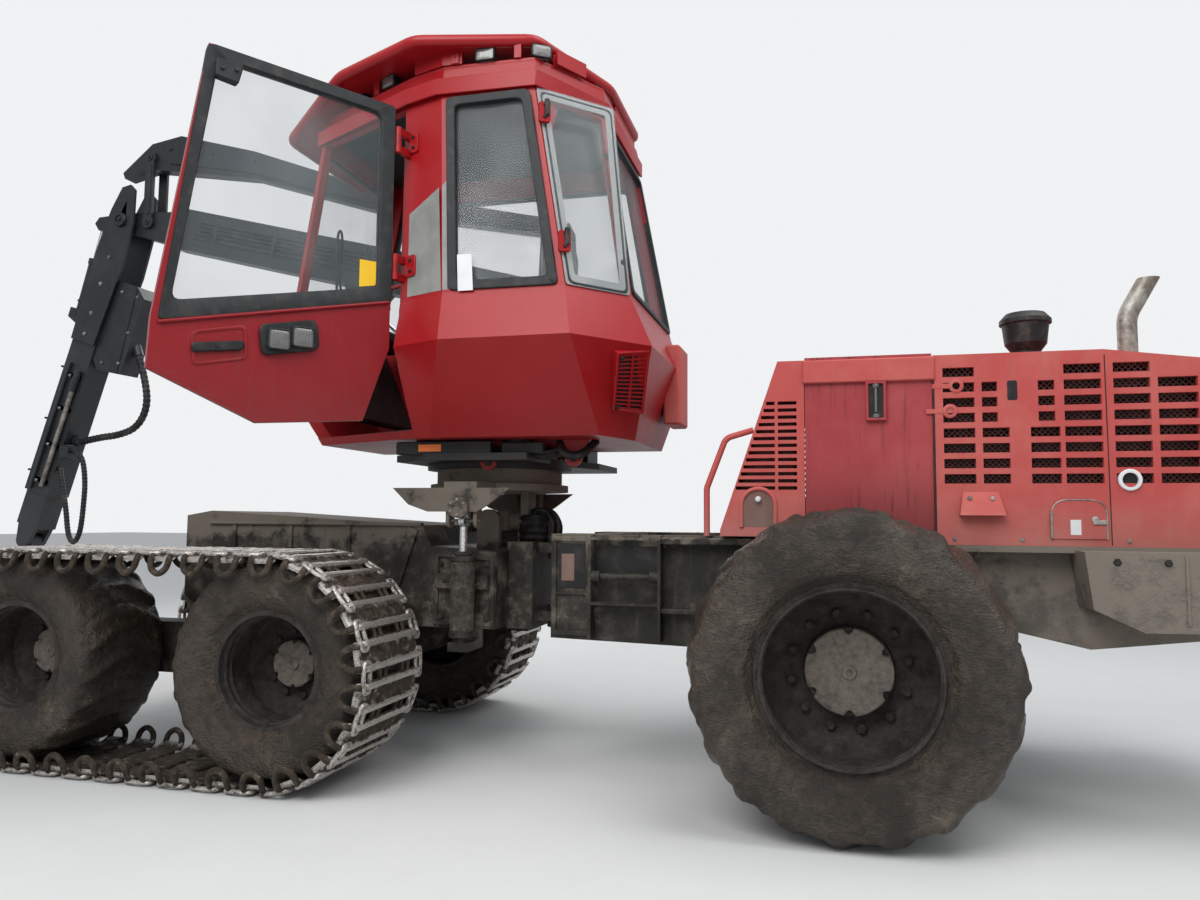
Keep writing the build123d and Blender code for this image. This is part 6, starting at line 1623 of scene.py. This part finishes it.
    def cylinders(self):
        """Gland collars, port blocks and feed pipes on the two cylinders."""
        foot, lug = (2.330, 1.990), on_boom(1.5, -0.32)
        turn = math.atan2(lug[2] - foot[1], lug[0] - foot[0])
        shape = Shape()
        for start, length, radius in ((1.06, 0.075, 0.08), (1.135, 0.012, 0.058), (0.16, 0.03, 0.077)):
            lathe(shape, on_line(foot, turn, start, 0), (math.cos(turn), 0, math.sin(turn)),
                [(0, radius - 0.004), (0.004, radius), (length - 0.004, radius), (length, radius - 0.004),
                (length, 0.0395), (0, 0.0395)] if start > 1 else [(0, 0.071), (0.003, radius), (length, radius),
                (length, 0.071)], 36, closed=True)
        rod(shape, on_line(foot, turn, 0.2, 0.088, 0.03), on_line(foot, turn, 1.08, 0.088, 0.03), 0.01, 12, 0.002)
        shape.piece("lift_cylinder_fittings", "lift_barrel", "crane_black", 30)
        foot, nose = on_outer(0.85, 0.23), (5.970, 3.830)
        turn = math.atan2(nose[1] - foot[2], nose[0] - foot[0])
        origin, shape = (foot[0], foot[2]), Shape()
        for start, length in ((0.43, 0.052), (0.1, 0.024)):
            lathe(shape, on_line(origin, turn, start, 0), (math.cos(turn), 0, math.sin(turn)),
                [(0, 0.0455), (0.003, 0.052), (length - 0.003, 0.052), (length, 0.0455)], 32, closed=True)
        rod(shape, on_line(origin, turn, 0.12, 0.055, 0.0), on_line(origin, turn, 0.44, 0.055, 0.0), 0.008, 12, 0.002)
        shape.piece("jib_cylinder_fittings", "jib_barrel", "crane_black", 30)

    def pillar(self):
        """Pin heads and hoses on the crane's pillar."""
        black, rubber_shape = shapes(2)
        face = 0.13
        for z in (BOOM_FOOT[1], BOOM_FOOT[1] + 0.54):
            for side in (-1, 1):
                self.cap(black, beside(BOOM_FOOT[0], z, side * face), side, 0.05, 0.02)
        for number in range(4):
            x = BOOM_FOOT[0] - 0.1 + number * 0.045
            hose(rubber_shape, [(x, CRANE_Y - face - 0.016, 2.05), (x, CRANE_Y - face - 0.018, 2.4),
                (x + 0.01, CRANE_Y - face - 0.016, 2.7), (x + 0.02, CRANE_Y - face - 0.016, 2.85)], self.radius)
        black.piece("pillar_pins", "upper_structure", "crane_black", 30)
        rubber_shape.piece("pillar_hoses", "upper_structure", "hose_rubber")


class SeatPieces(MeshOperator):
    """The operator's seat: crowned cushions with stitched channels on a ribbed pedestal."""

    bl_idname = "harvester.seat"
    bl_label = "Seat"

    MIDDLE = 0.30

    def build(self, sizes):
        base, seat, back, head = shapes(4)
        centre = vec(1.90, self.MIDDLE, 0)
        rings = []
        for step in range(15):
            half = 0.145 + (0.012 if step % 2 else 0.0)
            square = rounded(rect(-1, 1, -1, 1), 0.35, 4) * half
            rings.append(np.column_stack([square, np.full(len(square), 1.99 + step * 0.018)]) + centre)
        base.add(rings)
        block(base, (1.66, 0.07, 2.235), (2.17, 0.53, 2.262), 0.008, 0.05)
        for side in (-1, 1):
            y = self.MIDDLE + side * 0.275
            hose(base, [(1.66, y, 2.52), (1.8, y, 2.55), (1.98, y, 2.55), (2.06, y, 2.54)], 0.024)
        self.cushion(seat, (1.935, self.MIDDLE, 2.325), (1, 0, 0), (0, 0, 1), 0.265, 0.245, 0.062, 5, 0.22)
        lean, ahead = unit((-0.1, 0, 0.75)), unit((0.75, 0, 0.1))
        self.cushion(back, (1.648, self.MIDDLE, 2.70), lean, ahead, 0.34, 0.235, 0.058, 7, 0.2)
        self.cushion(head, (1.612, self.MIDDLE, 3.03), lean, ahead, 0.05, 0.13, 0.045, 0, 0.25)
        base.piece("seat_base", "upper_structure", "black_plastic", 40, replaces=["operator_seat"])
        for name, shape in (("seat_cushion", seat), ("seat_back", back), ("seat_headrest", head)):
            made = shape.piece(name, "upper_structure", "seat_fabric", 80)
            smooth = made.modifiers.new("smooth", "SUBSURF")
            smooth.levels = smooth.render_levels = 1

    def cushion(self, shape, centre, along, up, length, width, thick, channels, crown):
        """Rings along a cushion whose ends round off as (1 - |s|^5)^(1/3).

        Each ring is a flattened superellipse. Its upper side bulges by the crown, sinks at each stitched channel,
        and is drawn in along two side seams.
        """
        along, up = vec(*along), vec(*up)
        across = np.cross(up, along)
        turn = all_round(48)
        cosine, sine = np.cos(turn), np.sin(turn)
        rings = []
        for s in np.sin(np.linspace(-math.pi / 2, math.pi / 2, 61)) * 0.995:
            end = (1 - abs(s) ** 5) ** (1 / 3)
            y = width * (0.82 + 0.18 * end) * np.sign(cosine) * np.abs(cosine) ** 0.42
            z = thick * np.sign(sine) * np.abs(sine) ** 0.6 * end
            bulge = 1 + crown * (1 - (y / width) ** 2) * end
            groove = 0.0
            if channels and abs(s) < 0.86:
                groove = (0.5 + 0.5 * math.cos(2 * math.pi * (s / 0.86 + 1) / 2 * channels)) ** 12
            inside = np.clip(1 - np.abs(y / width / 0.62), 0, 1) ** 0.3
            seam = np.exp(-((np.abs(y / width) - 0.64) / 0.03) ** 2)
            z = z * bulge - (sine > 0) * thick * (0.2 * groove * inside + 0.16 * seam)
            rings.append(vec(*centre) + along * s * length + across * y[:, None] + up * z[:, None])
        shape.add(rings)


class HeadPieces(MeshOperator):
    """Studs, motors, hoses and covers of the harvester head."""

    bl_idname = "harvester.head"
    bl_label = "Harvester head details"

    TIP_X = 6.5566

    def build(self, sizes):
        for name, side in SIDES.items():
            studs, cap = shapes(2)
            centre = (self.TIP_X, CRANE_Y + side * 0.33)
            for row, z in enumerate(np.linspace(0.14, 0.31, 6)):
                for number in range(16):
                    turn = 2 * math.pi * (number + 0.5 * (row % 2)) / 16
                    out = (math.cos(turn), math.sin(turn), 0)
                    spot = (centre[0] + 0.164 * out[0], centre[1] + 0.164 * out[1], z)
                    lathe(studs, spot, out, [(0, 0.012), (0.01, 0.009), (0.016, 0.003)], 8)
            lathe(cap, (*centre, 0.36), (0, 0, 1), [(0, 0.058), (0.012, 0.055), (0.014, 0.03)], 28)
            studs.piece(f"feed_studs_{name}", f"feed_arm_{name}", "bare_steel", 30, "head_paint")
            cap.piece(f"feed_motor_{name}", f"feed_arm_{name}", "engine_iron", 30, "head_paint")
        frame_shape, steel, rubber_shape = shapes(3)
        x0, x1 = self.TIP_X - 0.56, self.TIP_X + 0.62
        for x in np.linspace(x0 + 0.08, x1 - 0.06, 7):
            for side in (-1, 1):
                block(frame_shape, (x - 0.006, CRANE_Y + side * 0.15, 0.41),
                    (x + 0.006, CRANE_Y + side * 0.157, 0.53), 0.002)
        block(frame_shape, (x0 + 0.03, CRANE_Y - 0.13, 0.54), (self.TIP_X - 0.14, CRANE_Y + 0.13, 0.575), 0.012, 0.03)
        block(frame_shape, (self.TIP_X + 0.14, CRANE_Y - 0.13, 0.54), (x1 - 0.02, CRANE_Y + 0.13, 0.60), 0.012, 0.03)
        bolts(steel, [(x, CRANE_Y + y, z) for x, z in ((x0 + 0.07, 0.575), (self.TIP_X - 0.19, 0.575),
            (self.TIP_X + 0.19, 0.6), (x1 - 0.07, 0.6)) for y in (-0.1, 0.1)], (0, 0, 1), 0.012, 0.01)
        for y in (-0.136, 0.136):
            hose(rubber_shape, [(x0 + 0.05, CRANE_Y + y, 0.552), (self.TIP_X - 0.2, CRANE_Y + y, 0.553),
                (self.TIP_X + 0.2, CRANE_Y + y, 0.552), (x1 - 0.05, CRANE_Y + y, 0.553)], 0.011)
        frame_shape.piece("head_ribs", "head_frame", "head_paint", 30)
        steel.piece("head_bolts", "head_frame", "bare_steel", 30, "head_paint")
        rubber_shape.piece("head_hoses", "head_frame", "hose_rubber")


class StagePieces(bpy.types.Operator):
    """Pale floor, soft light, sky and the photograph's camera."""

    bl_idname = "harvester.stage"
    bl_label = "Stage and camera"

    CAMERA_AT = (0.04, 5.31, 1.39)
    CAMERA_YAW, CAMERA_PITCH, CAMERA_ROLL = math.radians(14.86), math.radians(4.46), math.radians(0.44)
    CAMERA_LENS = 26.88
    FLOOR_REACH = 60.0
    # Lamps: name, place, target, size, watts
    LAMPS = [("key", (2.5, 7.0, 7.5), (0.4, 0.0, 1.6), 6.0, 520),
        ("top", (-3.0, 1.5, 9.0), (0.0, 0.0, 1.5), 7.0, 420),
        ("back", (5.0, -7.0, 6.0), (3.0, 0.0, 2.0), 6.0, 260)]

    def execute(self, context):
        floor = Shape()
        line = np.linspace(-self.FLOOR_REACH, self.FLOOR_REACH, 41)
        x, y = np.meshgrid(line, line, indexing="ij")
        floor.add(np.stack([x, y, np.zeros_like(x)], -1), around=False)
        finish = Finish("pale_floor", Roughness=0.9)
        grain = finish.noise(3, 6, 0.6) * 0.6 + finish.noise(40, 3, 0.6) * 0.4
        finish.feed(Base_Color=finish.blend(grain, rgb(0.56, 0.56, 0.55), rgb(0.64, 0.64, 0.63)))
        floor.piece("floor", None, "pale_floor", turn=False)
        self.sky(context.scene)
        for lamp in self.LAMPS:
            self.lamp(context.scene, *lamp)
        self.camera(context.scene)
        return {"FINISHED"}

    def sky(self, scene):
        """A soft sky that lights the object, and a paler one that the camera sees."""
        world = bpy.data.worlds.new("sky")
        scene.world = world
        world.use_nodes = True
        tree = world.node_tree
        background = tree.nodes["Background"]
        background.inputs["Color"].default_value = (0.86, 0.9, 0.95, 1)
        background.inputs["Strength"].default_value = 0.72
        seen = tree.nodes.new("ShaderNodeBackground")
        seen.inputs["Color"].default_value = (0.87, 0.885, 0.9, 1)
        seen.inputs["Strength"].default_value = 1.0
        path, mix = tree.nodes.new("ShaderNodeLightPath"), tree.nodes.new("ShaderNodeMixShader")
        tree.links.new(path.outputs["Is Camera Ray"], mix.inputs[0])
        tree.links.new(background.outputs[0], mix.inputs[1])
        tree.links.new(seen.outputs[0], mix.inputs[2])
        tree.links.new(mix.outputs[0], tree.nodes["World Output"].inputs["Surface"])

    def lamp(self, scene, name, place, target, size, power):
        """A round area lamp that faces its target."""
        light = bpy.data.lights.new(name, "AREA")
        light.shape, light.size, light.energy = "DISK", size, power
        made = bpy.data.objects.new(name, light)
        scene.collection.objects.link(made)
        made.location = place
        made.rotation_euler = (Vector(target) - Vector(place)).to_track_quat("-Z", "Y").to_euler()

    def camera(self, scene):
        """The photograph's camera, from its yaw, pitch and roll."""
        yaw, pitch, roll = self.CAMERA_YAW, self.CAMERA_PITCH, self.CAMERA_ROLL
        forward = Vector((math.sin(yaw) * math.cos(pitch), -math.cos(yaw) * math.cos(pitch), math.sin(pitch)))
        level = Vector((-math.cos(yaw), -math.sin(yaw), 0))
        above = level.cross(forward)
        right = level * math.cos(roll) + above * math.sin(roll)
        up = above * math.cos(roll) - level * math.sin(roll)
        data = bpy.data.cameras.new("photo_camera")
        data.lens, data.sensor_width, data.clip_end = self.CAMERA_LENS, 36.0, 200.0
        made = bpy.data.objects.new("photo_camera", data)
        turn = Matrix((right, up, -forward)).transposed().to_4x4()
        made.matrix_world = Matrix.Translation(self.CAMERA_AT) @ turn
        scene.collection.objects.link(made)
        scene.camera = made


class NodeFinishes(bpy.types.Operator):
    """Gives each CAD node the finish of its material slot."""

    bl_idname = "harvester.node_finishes"
    bl_label = "Node finishes"

    def execute(self, context):
        make_materials()
        slots = {part["node"]: part["material_slot"] for part in frame["record"]["subparts"]}
        for name, node in frame["nodes"].items():
            finish = NODE_FINISH.get(name, SLOT_FINISH.get(slots[name], slots[name]))
            node.data.materials.clear()
            node.data.materials.append(MATERIALS[finish])
        return {"FINISHED"}


OPERATORS = [NodeFinishes, StagePieces, HoseCords, TyrePieces, TrackPieces, RimPieces, CabPieces, DoorPieces,
    HoodPieces, FramePieces, SwingPieces, CranePieces, SeatPieces, HeadPieces]


class HarvesterPanel(bpy.types.Panel):
    """Lists the harvester's operators and settings."""

    bl_idname = "VIEW3D_PT_harvester"
    bl_label = "Harvester"
    bl_space_type = "VIEW_3D"
    bl_region_type = "UI"
    bl_category = "Harvester"

    def draw(self, context):
        for group, names in ((context.scene.harvester_paint, ("cab", "hood", "tank")),
                (context.scene.harvester_sizes, ("mud_depth", "hose_radius"))):
            for name in names:
                self.layout.prop(group, name)
        for operator in OPERATORS:
            self.layout.operator(operator.bl_idname)


CLASSES = [HarvesterPaint, HarvesterSizes, *OPERATORS, HarvesterPanel]


def register():
    for item in CLASSES:
        bpy.utils.register_class(item)
    bpy.types.Scene.harvester_paint = bpy.props.PointerProperty(type=HarvesterPaint)
    bpy.types.Scene.harvester_sizes = bpy.props.PointerProperty(type=HarvesterSizes)


def unregister():
    del bpy.types.Scene.harvester_sizes
    del bpy.types.Scene.harvester_paint
    for item in reversed(CLASSES):
        bpy.utils.unregister_class(item)


def main():
    register()
    bpy.context.scene.view_settings.view_transform = "Standard"
    for operator in OPERATORS:
        group, name = operator.bl_idname.split(".")
        getattr(getattr(bpy.ops, group), name)()


if __name__ == "__main__":
    main()
